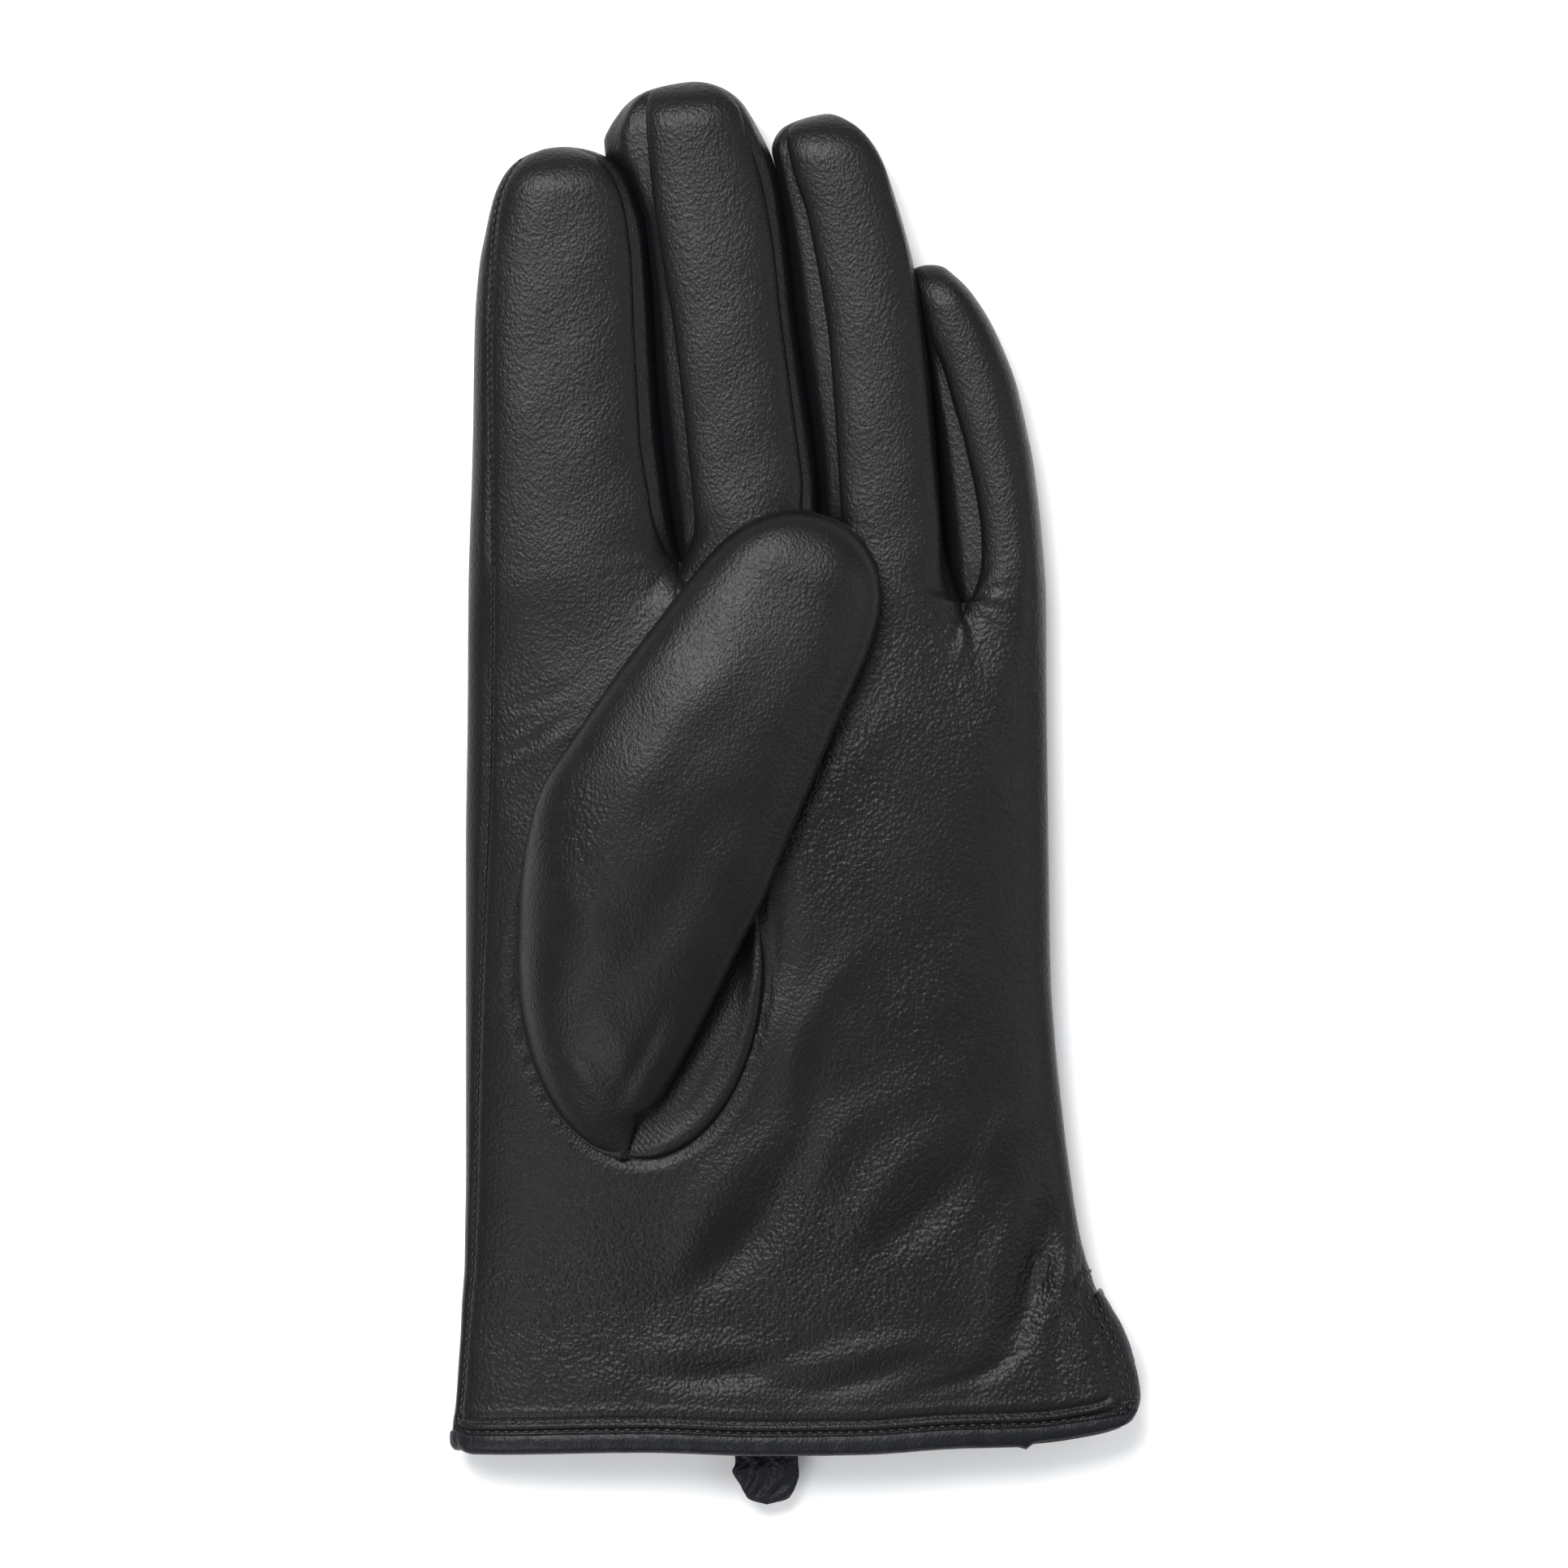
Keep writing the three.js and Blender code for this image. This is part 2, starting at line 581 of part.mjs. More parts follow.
function tabPiece(length, rounded) {
  const shape = new THREE.Shape();
  const half = TAB_WIDTH / 2;
  const radius = rounded ? half * 0.7 : 0.01;
  shape.moveTo(-half, 0);
  shape.lineTo(-half * (rounded ? 0.85 : 1), -length + radius);
  shape.quadraticCurveTo(-half * 0.8, -length, -half + radius, -length);
  shape.lineTo(half - radius, -length);
  shape.quadraticCurveTo(half * 0.8, -length, half * (rounded ? 0.85 : 1), -length + radius);
  shape.lineTo(half, 0);
  return new THREE.ExtrudeGeometry(shape, { depth: TAB_THICKNESS, bevelEnabled: false, curveSegments: 6 });
}

// ---- Put the glove together --------------------------------------------------------------
const glove = new THREE.Group();

function add(name, geometry, colour, roughness) {
  const material = new THREE.MeshStandardMaterial({ color: colour, roughness, metalness: 0 });
  const mesh = new THREE.Mesh(geometry, material);
  mesh.name = name;
  glove.add(mesh);
  return mesh;
}

const NAPPA = 0x1f2124;
const KNIT = 0x2b2a2c;
const SILK = 0x141517;

add('trank_hand', fromManifold(trank()), NAPPA, 0.5);
add('lining_hand', fromManifold(handLining()), KNIT, 0.95);
add('thumb_gusset', thumbGusset(), NAPPA, 0.5);
add('cuff_binding', cuffBand(bindingProfile, 2 * HAND_STEPS), NAPPA, 0.5);
add('cuff_stitching', cuffBand(cuffStitchProfile, 2 * HAND_STEPS), SILK, 0.6);
add('side_seam_stitching', handSeamStitches(), SILK, 0.6);
add('thumb_seam_stitching', thumbSeamStitches(), SILK, 0.6);
add('tab_anchor', tabPiece(9, false), NAPPA, 0.5).position.set(TAB_X, TAB_BEND + 9 + CLEAR / 2, TAB_Z);
add('pull_tab', tabPiece(TAB_LENGTH, true), NAPPA, 0.5).position.set(TAB_X, TAB_BEND - CLEAR / 2, TAB_Z);

add('thumb_upper', thumbUpper(), NAPPA, 0.45);
add('thumb_under', thumbUnder(), NAPPA, 0.5);
add('thumb_lining', fromManifold(thumbLining()), KNIT, 0.95);

for (const [name, finger] of Object.entries(FINGERS)) {
  if (finger.folded) {
    // Palm face, fold and back face are one piece of leather on the little finger.
    add(`${name}_trank_face`, fingerFace(finger, 180 - WALL_EDGE, WALL_EDGE - 180, 14), NAPPA, 0.5);
  } else {
    const palmEnd = finger.seamed ? INDEX_SEAM : 180 - WALL_EDGE;
    const backStart = finger.seamed ? INDEX_SEAM + 2 : 180 + WALL_EDGE;
    add(`${name}_palm_face`, fingerFace(finger, WALL_EDGE, palmEnd, 6), NAPPA, 0.5);
    add(`${name}_back_face`, fingerFace(finger, backStart, 360 - WALL_EDGE, 6), NAPPA, 0.5);
  }
  if (!finger.folded) add(`${name}_fourchette_outer`, fingerWall(finger, 1), NAPPA, 0.55);
  if (!finger.seamed) add(`${name}_fourchette_inner`, fingerWall(finger, -1), NAPPA, 0.55);
  add(`${name}_lining`, stallLining(finger, 10), KNIT, 0.95);
}
add('index_seam_stitching', indexSeamStitches(), SILK, 0.6);

export default glove;
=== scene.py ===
# %% [markdown]
# # A black nappa dress glove, palm up
# The CAD frame is loaded first. Every piece below is worked out in the frame's own space, so it is
# already in place. CAD boxes and joints give the places, and lengths are written in millimetres.

# %% Load the frame
import json
import math
import bpy
import numpy as np
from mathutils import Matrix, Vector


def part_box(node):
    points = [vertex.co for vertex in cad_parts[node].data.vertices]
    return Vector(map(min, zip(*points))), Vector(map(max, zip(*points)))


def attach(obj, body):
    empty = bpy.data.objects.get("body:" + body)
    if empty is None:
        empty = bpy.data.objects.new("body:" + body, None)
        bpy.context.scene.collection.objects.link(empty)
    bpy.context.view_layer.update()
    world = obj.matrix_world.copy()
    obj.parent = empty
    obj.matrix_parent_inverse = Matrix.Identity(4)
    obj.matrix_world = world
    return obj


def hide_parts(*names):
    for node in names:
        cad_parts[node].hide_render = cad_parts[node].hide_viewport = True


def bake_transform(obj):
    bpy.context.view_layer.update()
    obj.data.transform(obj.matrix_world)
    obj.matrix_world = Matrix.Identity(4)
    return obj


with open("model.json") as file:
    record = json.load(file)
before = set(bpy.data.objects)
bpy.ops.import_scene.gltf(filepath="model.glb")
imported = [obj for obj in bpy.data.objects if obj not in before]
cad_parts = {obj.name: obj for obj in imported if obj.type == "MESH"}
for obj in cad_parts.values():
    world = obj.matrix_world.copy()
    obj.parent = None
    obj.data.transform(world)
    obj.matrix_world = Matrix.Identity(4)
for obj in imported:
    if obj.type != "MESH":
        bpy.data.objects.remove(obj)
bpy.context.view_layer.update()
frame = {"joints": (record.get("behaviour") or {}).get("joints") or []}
MM = 0.001
JOINTS = {joint["name"]: joint for joint in frame["joints"]}


# %% [markdown]
# ## Reading a measured line
# Gloves are cut from curved patterns. Each curve here is a short table, and one function draws a
# smooth line through its rows. A cubic that may not overshoot is used, because a plain spline
# would wave between rows that are far apart.

# %% Smooth lines through tables
def smooth_step(low, high, x):
    """Zero below low, one above high, and between them 3t squared minus 2t cubed."""
    t = np.clip((np.asarray(x, float) - low) / (high - low), 0, 1)
    return t * t * (3 - 2 * t)


def mix(a, b, t):
    """a where t is zero, b where t is one, and a straight line between."""
    return a + (b - a) * t


def line(rows, x, free=False):
    """Values of a table of [position, value, ...] rows at x. A cubic joins two rows. Its slope at a
    row is the harmonic mean of the slopes beside it, or zero where they turn, so it can't
    overshoot; with free it is their plain mean, for outlines that turn back."""
    rows = np.asarray(rows, float)
    key, value = rows[:, 0], rows[:, 1:]
    step = np.diff(key)[:, None]
    slope = np.diff(value, axis=0) / step
    tangent = np.zeros_like(value)
    tangent[0], tangent[-1] = slope[0], slope[-1]
    before, after = slope[:-1], slope[1:]
    if free:
        tangent[1:-1] = (before + after) / 2
    else:
        total = np.where(before * after > 0, before + after, 1)
        tangent[1:-1] = np.where(before * after > 0, 2 * before * after / total, 0)
    x = np.clip(np.asarray(x, float), key[0], key[-1])
    i = np.clip(np.searchsorted(key, x, side="right") - 1, 0, len(key) - 2)
    h = step[i]
    t = (x - key[i])[..., None] / h
    return ((1 + 2 * t) * (1 - t) ** 2 * value[i] + t * (1 - t) ** 2 * h * tangent[i]
            + t * t * (3 - 2 * t) * value[i + 1] + t * t * (t - 1) * h * tangent[i + 1])


def tip_line(rows, r, length):
    """A finger's edge at distance r. The table is read by the square root of what is left to the
    tip, so the edges close in a round end instead of a point."""
    rows = np.asarray(rows, float)
    keyed = np.column_stack([-np.sqrt(np.maximum(length - rows[:, 0], 0)), rows[:, 1]])
    return line(keyed, -np.sqrt(np.maximum(length - r, 0)))[..., 0]


# %% [markdown]
# ## From points to a mesh
# A piece of leather is a grid of points: columns across it, rows along it. Sheets that share an
# edge are put in one mesh, and points that fall together are joined, which also closes the tips.

# %% Grids into meshes
def points_at(*grids):
    """Stacks x, y and z arrays in millimetres into one array of points."""
    return np.stack(np.broadcast_arrays(*grids), -1).astype(float)


def grid_normals(p):
    """Outward direction at each grid point: its step across crossed with its step along."""
    across, along = np.gradient(p, axis=1), np.gradient(p, axis=0)
    n = np.cross(across, along)
    size = np.linalg.norm(n, axis=-1, keepdims=True)
    return n / np.maximum(size, 1e-12)


def sheet_mesh(name, grids, thickness=0.0, fields=None):
    """A mesh from grids of points in millimetres. Points closer than 0.004 mm are one point, a
    square that closes to a triangle loses a corner, and open edges are sharp. The rest place of
    each point is kept in the attribute hide, so the grain stays on the leather when it bends."""
    points, quads, values, start = [], [], {}, 0
    for n, p in enumerate(grids):
        rows, columns = p.shape[:2]
        i = np.arange(rows * columns).reshape(rows, columns) + start
        quads.append(np.stack([i[:-1, :-1], i[:-1, 1:], i[1:, 1:], i[1:, :-1]], -1).reshape(-1, 4))
        points.append(p.reshape(-1, 3))
        for key, per_grid in (fields or {}).items():
            values.setdefault(key, []).append(
                np.broadcast_to(per_grid[n], (rows, columns)).ravel())
        start += rows * columns
    points, quads = np.concatenate(points), np.concatenate(quads)
    _, first, joined = np.unique(np.round(points * 250).astype(np.int64), axis=0,
                                 return_index=True, return_inverse=True)
    points, quads = points[first], joined.ravel()[quads]
    twin = quads == np.roll(quads, -1, axis=1)
    whole = quads[twin.sum(1) == 0]
    whole = whole[(whole[:, 0] != whole[:, 2]) & (whole[:, 1] != whole[:, 3])]
    pinched = quads[twin.sum(1) == 1]
    corner = np.argmax(pinched == np.roll(pinched, -1, axis=1), axis=1)
    keep = (corner[:, None] + np.array([1, 2, 3])) % 4
    thirds = np.take_along_axis(pinched, keep, axis=1)
    loops = np.concatenate([whole.ravel(), thirds.ravel()])
    starts = np.concatenate([np.arange(len(whole)) * 4,
                             len(whole) * 4 + np.arange(len(thirds)) * 3])
    mesh = bpy.data.meshes.new(name)
    mesh.vertices.add(len(points))
    mesh.vertices.foreach_set("co", (points * MM).astype(np.float32).ravel())
    mesh.loops.add(len(loops))
    mesh.loops.foreach_set("vertex_index", loops.astype(np.int32))
    mesh.polygons.add(len(starts))
    mesh.polygons.foreach_set("loop_start", starts.astype(np.int32))
    mesh.update(calc_edges=True)
    mesh.validate()
    mesh.shade_smooth()
    edge_of = np.zeros(len(mesh.loops), np.int32)
    mesh.loops.foreach_get("edge_index", edge_of)
    sharp = mesh.attributes.new("sharp_edge", "BOOLEAN", "EDGE")
    sharp.data.foreach_set("value", np.bincount(edge_of, minlength=len(mesh.edges)) == 1)
    hide = mesh.attributes.new("hide", "FLOAT_VECTOR", "POINT")
    hide.data.foreach_set("vector", (points * MM).astype(np.float32).ravel())
    for key, parts in values.items():
        field = mesh.attributes.new(key, "FLOAT", "POINT")
        field.data.foreach_set("value", np.concatenate(parts)[first].astype(np.float32))
    piece = bpy.data.objects.new(name, mesh)
    bpy.context.scene.collection.objects.link(piece)
    if thickness:
        wall = piece.modifiers.new("Thickness", "SOLIDIFY")
        wall.thickness, wall.offset = thickness * MM, -1
    print(f"{name}: {len(mesh.vertices)} points, {len(mesh.polygons)} faces")
    return piece


# %% [markdown]
# ## The hand's outline
# A glove that isn't worn lies nearly flat, a little filled by its lining. Its section is a
# superellipse: fuller than an ellipse, softer than a box. The tables give the two sides, the
# height and how far the leather lies off the table, from the cuff up to the fingers.

# %% Hand section
PALM_POWER, BACK_POWER, WAIST = 2.6, 3.4, 0.45
VENT_TOP, BACK_EDGE = -52.9, -82.6  # y of the vent's top and of the back's cuff edge
HAND_SIDES = [  # y, left, right
    [-83.2, -56.2, 69.2], [-80.5, -56.8, 69.2], [-77.3, -56.6, 69.3], [-75.5, -56.3, 70.7],
    [-72.5, -56.0, 71.4], [-66.4, -55.6, 70.2], [-60.4, -55.2, 68.1], [-55.4, -55.0, 65.2],
    [-52.9, -54.8, 63.4], [-48.3, -54.5, 61.8], [-42.3, -54.4, 60.2], [-30.2, -54.2, 58.3],
    [-18.1, -54.2, 56.8], [-6.0, -54.2, 55.6], [6.0, -54.2, 54.8], [30.2, -54.2, 54.4],
    [54.4, -53.9, 54.1], [78.5, -53.8, 53.8], [90.6, -53.5, 53.4]]
HAND_HEIGHTS = [  # y, height, lift
    [-83.2, 14.2, 1.2], [-75, 14.8, 1.1], [-66, 15.4, 0.4], [-58, 15.8, 0], [-49, 16.4, 0],
    [-32, 17.6, 0], [-8, 18.9, 0], [20, 19.4, 0], [50, 18.6, 0], [72, 17.2, 0], [90, 16.2, 0]]
SEAM_INSET = [  # y, side seam from the left silhouette
    [-83, 0.9], [-66, 1.0], [-48, 1.4], [-30, 1.7], [-10, 2.2], [10, 2.9], [28, 3.8], [45, 4.3],
    [90, 4.1]]


def palm_form(xi):
    """Superellipse over the palm: (1 - |xi|^n)^(1/n), with xi from -1 to 1 across the section."""
    return (1 - np.clip(np.abs(xi), 0, 1) ** PALM_POWER) ** (1 / PALM_POWER)


def hand_sizes(y):
    """Middle, half width, height, waist height and lift of the hand's section at y."""
    sides, heights = line(HAND_SIDES, y), line(HAND_HEIGHTS, y)
    left, right = sides[..., 0], sides[..., 1]
    return ((left + right) / 2, (right - left) / 2, heights[..., 0],
            WAIST * heights[..., 0], heights[..., 1])


def palm_level(x, y):
    """Height of the bare palm: the waist plus the rest of the height times the palm's form."""
    middle, half, height, waist, lift = hand_sizes(y)
    return lift + waist + (height - waist) * palm_form((x - middle) / half)


def seam_place(y):
    """The side seam's place across the hand's section, where -1 is the left silhouette."""
    middle, half = hand_sizes(y)[:2]
    return (line(HAND_SIDES, y)[..., 0] + line(SEAM_INSET, y)[..., 0] - middle) / half


def back_level(xi, waist):
    """Height of the back of the hand: the waist let down by the same form with a flatter power."""
    rise = (1 - np.clip(np.abs(xi), 0, 1) ** BACK_POWER) ** (1 / BACK_POWER)
    return waist * (1 - rise)


# %% [markdown]
# ## Fingers
# A dress glove's finger has a palm face and a back face, joined on each side by a fourchette, the
# narrow side strip. The palm face is a pillow: flat on top and rolled down to its seams. Each
# fourchette swells between its two seams. The index finger's outer side has no fourchette: its
# back wraps round to a seam on the palm side, and the little finger is one skin folded over.

# %% Finger patterns
CROTCH_LEVEL, BACK_SEAM = 11.6, 3.0  # heights of the crotch and of a fourchette's back seam
SEAM_DROP, TIP_REACH = 2.4, 9.0  # from crown to palm seam, and where the tip starts to close
LITTLE_FOLD = [[-6.1, 8.4], [0, 9.3], [10, 10.6], [20, 11.4], [30, 11.5], [40, 10.3], [50, 7.3],
               [54.9, 4.3], [56.4, 3.0]]
FINGERS = {  # root height, edges as [distance from the root, sideways], and where the tip ends
    "index": dict(
        height=16.0, split=(-7.0, -7.0), left_wrap=True, right_wrap=False, tip=-0.4,
        left_seam=[[-7.4, -15.3], [-6, -15.3], [11, -15.1], [29, -14.9], [38, -14.6], [47, -14],
                   [54.7, -13.4], [60.7, -12.5], [65.2, -10.8], [68.9, -8], [70.8, -4.2]],
        right_seam=[[-7.3, 19.9], [-5, 17.5], [-1.9, 16.1], [1.9, 15], [6.4, 14.4], [11, 13.7],
                    [16.3, 13.1], [27, 12.8], [37.4, 12.5], [48, 12.4], [52.6, 12.1],
                    [60.1, 11.1], [62.4, 10.4], [65, 9.3], [68.6, 6.6], [70.3, 3.4]],
        left_side=[[-7, -19.6], [0, -19.2], [10, -18.6], [20, -18.1], [30, -17.7], [40, -17.2],
                   [50, -16.1], [55, -15], [60, -13.8], [64, -12.4], [68, -9.6]],
        right_side=[[-7, 20], [0, 18.7], [10, 17.6], [20, 16.8], [30, 16.3], [40, 16],
                    [50, 15.5], [55, 15.1], [60, 13.7], [64, 12.4], [68, 9.6]]),
    "middle": dict(
        height=16.0, split=(-13.4, -16.8), left_wrap=False, right_wrap=False, tip=-1.2,
        left_seam=[[-13.4, -13.1], [-9.3, -10.7], [-7.1, -9.9], [-4.1, -9.6], [5, -9.4],
                   [15.6, -9.2], [30.8, -9.2], [40, -9.6], [55.3, -10], [61.3, -9.9],
                   [68.9, -9.5], [74.6, -8.1]],
        right_seam=[[-16.8, 12.7], [-11.3, 11.5], [-5.9, 10.5], [-0.6, 11.2], [13, 11.1],
                    [30, 11], [42, 11.2], [51, 10.8], [55.8, 10.4], [59.7, 9.7], [62.8, 8.9],
                    [68.2, 8.3], [73.0, 5.6]],
        left_side=[[-13.4, -13.2], [-6, -13.5], [0, -13.7], [20, -13.4], [30, -12.6], [40, -12],
                   [50, -11.9], [55, -13], [60, -14.9], [64, -17.0], [66.8, -16.9], [68.9, -15.9],
                   [71, -14.4], [73.1, -12.4], [74.9, -9]],
        right_side=[[-16.8, 12.8], [0, 14], [20, 13.6], [30, 13.5], [40, 13.7], [50, 13.7],
                    [55, 13.5], [60, 12.7], [64, 11.4], [68, 9.9], [70.5, 8.7], [72.9, 6.6]]),
    "ring": dict(
        height=15.6, split=(-13.3, -24.8), left_wrap=False, right_wrap=False, tip=0.3,
        left_seam=[[-13.3, -12.7], [-5.7, -7.9], [-1.2, -7.4], [9.4, -6.4], [15.4, -5.9],
                   [23, -5.3], [32, -4.9], [45, -5.2], [52, -5.6], [58.3, -6.7], [64.5, -7.2],
                   [67.5, -6.6], [69.4, -3.4]],
        right_seam=[[-24.8, 12.1], [-23, 10.4], [-17.5, 9.5], [-8.5, 10.3], [9.7, 11.4],
                    [20, 12], [28.7, 12.3], [41, 12.1], [52.6, 10.8], [57.2, 10.3], [61.2, 9.1],
                    [65.7, 6.7], [68.7, 3.3]],
        left_side=[[-13.3, -12.8], [0, -11.1], [10, -10.4], [20, -10.5], [30, -10.6],
                   [40, -10.1], [50, -9.8], [60, -9.7], [64, -10], [68, -8.0]],
        right_side=[[-24.8, 12.2], [-14, 10.4], [0, 11.4], [10, 12.2], [20, 12.8], [30, 13.1],
                    [40, 12.7], [50, 11.6], [60, 9.8], [64, 8.1], [68, 4.6]]),
    "little": dict(
        height=14.4, split=(-6.1, -6.1), left_wrap=False, right_wrap=True, tip=-1.0,
        left_seam=[[-6.1, -7.5], [-5.3, -5.9], [-2.9, -4.2], [-0.1, -2.8], [4.2, -1.7],
                   [8.7, -1], [16.4, -0.6], [23.4, -0.6], [30.4, -1], [38.3, -1.5], [44, -2.4],
                   [51, -2.7], [55.4, -2.9]],
        right_seam=LITTLE_FOLD, right_side=LITTLE_FOLD,
        left_side=[[-6.1, -7.6], [-2, -8.6], [0, -8.9], [10, -7.9], [20, -6.3], [30, -4.8],
                   [40, -3.7], [50, -3.4], [54.5, -3.5], [56.6, -3.1]]),
}
for finger_name, finger in FINGERS.items():
    joint = JOINTS[finger_name + "_curl"]
    finger["root"] = np.array(joint["pos_m"][:2]) / MM
    finger["lean"] = math.atan2(joint["axis"][1], joint["axis"][0])
    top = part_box(finger_name + ("_palm_face" if finger_name != "little" else "_trank_face"))[1]
    finger["length"] = (top[1] / MM - finger["root"][1]) / math.cos(finger["lean"])
    for key in ("left_seam", "right_seam", "left_side", "right_side"):
        finger[key] = finger[key] + [[finger["length"], finger["tip"]]]
    print(finger_name, "root", finger["root"].round(1), "length", round(finger["length"], 1))


# %% Finger section
def finger_grid(finger, inset=0.0, fine=1.0):
    """One finger as four grids, in the order palm face, right side, back, left side.

    Rows run from the crotch to the tip, closer together near the tip. Across a row, the palm
    face is its seam level plus its rise times 0.6 of a gentle crown, 1 - |xi|^2.4, and 0.4 of a
    flat one with a crisp edge, (1 - |xi|^12)^0.5. A fourchette is a straight line between its
    seams plus a swelling of (4t(1-t))^0.6 and a small ridge under the palm seam. A wrapped side
    is a superellipse. At the tip all heights shrink to the waist with (1 - t^2)^0.5."""
    length = finger["length"]
    straight = int(round(78 / fine))
    share = np.concatenate([np.linspace(0, 0.86, straight, endpoint=False),
                            0.86 + 0.14 * np.sin(np.linspace(0, np.pi / 2, int(22 / fine)))])
    share = share[:, None]
    left_r = mix(finger["split"][0], length, share)
    right_r = mix(finger["split"][1], length, share)
    edge = lambda key, r: tip_line(finger[key], r, length)
    seam_l, side_l = edge("left_seam", left_r), edge("left_side", left_r)
    seam_r, side_r = edge("right_seam", right_r), edge("right_side", right_r)
    side_l, side_r = np.minimum(side_l, seam_l), np.maximum(side_r, seam_r)
    middle = (seam_l + seam_r) / 2

    def levels(r):
        height = finger["height"] - 3 * np.clip(r / length, 0, 1) + 0.05 * np.clip(-r, 0, 25)
        opened = smooth_step(0, 0.13, share)
        seam = mix(CROTCH_LEVEL, height - SEAM_DROP, opened)
        return height, seam, WAIST * height

    def dome(z, r, waist):
        end = np.clip((r - (length - TIP_REACH)) / TIP_REACH, 0, 1)
        return waist + (z - waist) * np.sqrt(1 - end ** 2)

    turn = np.linspace(0, 1, int(round(34 / fine)))[None, :]
    xi = -np.cos(np.pi * turn)
    s, r = mix(seam_l, seam_r, (xi + 1) / 2), mix(left_r, right_r, (xi + 1) / 2)
    height, seam, waist = levels(r)
    crown = 0.6 * (1 - np.abs(xi) ** 2.4) + 0.4 * np.sqrt(1 - np.abs(xi) ** 12)
    pillow = seam + (height - seam) * crown
    reach = np.where(xi < 0, side_l - middle, side_r - middle)
    around = (s - middle) / np.where(np.abs(reach) < 1e-6, 1e-6, reach)
    wrapped = waist + (height - waist) * palm_form(around)
    z = np.where(xi < 0, wrapped if finger["left_wrap"] else pillow,
                 wrapped if finger["right_wrap"] else pillow)
    grids = [(s, r, dome(z, r, waist))]

    def side_strip(seam_s, side_s, r, sign):
        height, seam, waist = levels(r)
        t = np.linspace(0, 1, int(round(16 / fine)))[None, :]
        swell = np.clip(np.abs(side_s - seam_s) / 3, 0, 1)
        low_s = side_s - sign * 1.0 * swell
        s = mix(seam_s, low_s, t) + (side_s - (seam_s + low_s) / 2) * (4 * t * (1 - t)) ** 0.6
        z = mix(seam, BACK_SEAM, t) + 1.0 * swell * np.exp(-((t - 0.2) / 0.13) ** 2)
        return s, r + 0 * t, dome(z, r, waist)

    def wrap_strip(side_s, r, high_s):
        """Superellipse from the bottom round the side to a seam at high_s."""
        height, _, waist = levels(r)
        reach = side_s - middle
        safe = np.where(np.abs(reach) < 1e-6, 1e-6, reach)
        top = np.arccos(np.clip(np.abs((high_s - middle) / safe), 0, 1) ** (PALM_POWER / 2))
        t = np.linspace(0, 1, int(round(22 / fine)))[None, :]
        angle = mix(-math.radians(72), top, t)
        low = angle < 0
        power = np.where(low, 2 / 3, 2 / PALM_POWER)
        s = middle + reach * np.cos(angle) ** power
        rise = np.abs(np.sin(angle)) ** power
        z = np.where(low, waist * (1 - rise), waist + (height - waist) * rise)
        return s, r + 0 * t, dome(z, r, waist)

    if finger["right_wrap"]:
        right = [a[:, ::-1] for a in wrap_strip(side_r, right_r, side_r)]
    else:
        right = side_strip(seam_r, side_r, right_r, 1)
    if finger["left_wrap"]:
        left = wrap_strip(side_l, left_r, seam_l)
    else:
        left = [a[:, ::-1] for a in side_strip(seam_l, side_l, left_r, -1)]
    t = np.linspace(0, 1, int(round(14 / fine)))[None, :]
    back = (mix(right[0][:, -1:], left[0][:, :1], t), mix(right_r, left_r, t))
    rim_r, rim_l = right[2][:, -1:], left[2][:, :1]
    floor = dome(np.zeros_like(back[1]), back[1], WAIST * (finger["height"] - 2))
    floor = np.minimum(floor, mix(rim_r, rim_l, t))
    z = floor + (rim_r - floor[:, :1]) * (1 - t) ** 6 + (rim_l - floor[:, -1:]) * t ** 6
    grids += [tuple(right), (*back, z), tuple(left)]

    made = []
    cos, sin = math.cos(finger["lean"]), math.sin(finger["lean"])
    mid_z = WAIST * finger["height"]
    for s, r, z in grids:
        if inset:
            half = np.maximum((side_r - side_l) / 2, 1e-6)
            s = middle + (s - middle) * np.clip(1 - inset / half, 0, 1)
            z = mid_z + (z - mid_z) * (1 - inset / mid_z)
            r = np.minimum(r, length - inset)
        x, y = finger["root"][0] + s * cos - r * sin, finger["root"][1] + s * sin + r * cos
        made.append(points_at(x, y, z))
    return made


def seam_groove(before, after, depth=0.5, width=0.7):
    """Presses a groove into two grids along the edge they share: depth * exp(-(d/width)^2),
    where d is the distance from the shared column, square to the leather at that column."""
    both = np.concatenate([before[:, :-1], after], 1)
    at = before.shape[1] - 1
    d = np.linalg.norm(both - both[:, at:at + 1], axis=-1)
    press = depth * np.exp(-(d / width) ** 2)
    both = both - grid_normals(both)[:, at:at + 1] * press[..., None]
    return both[:, :at + 1], both[:, at:]


SKINS = {name: finger_grid(finger) for name, finger in FINGERS.items()}
print({name: [g.shape[:2] for g in grids] for name, grids in SKINS.items()})


# %% [markdown]
# ## Folds and puckers
# Soft leather shows how it has been carried: long shallow folds near the cuff, fine radiating
# puckers where two fingers part, and creases beside the thumb. They are real shape, added along
# the surface's normal. A fold is a bell-shaped ridge with a length, a width and a direction.

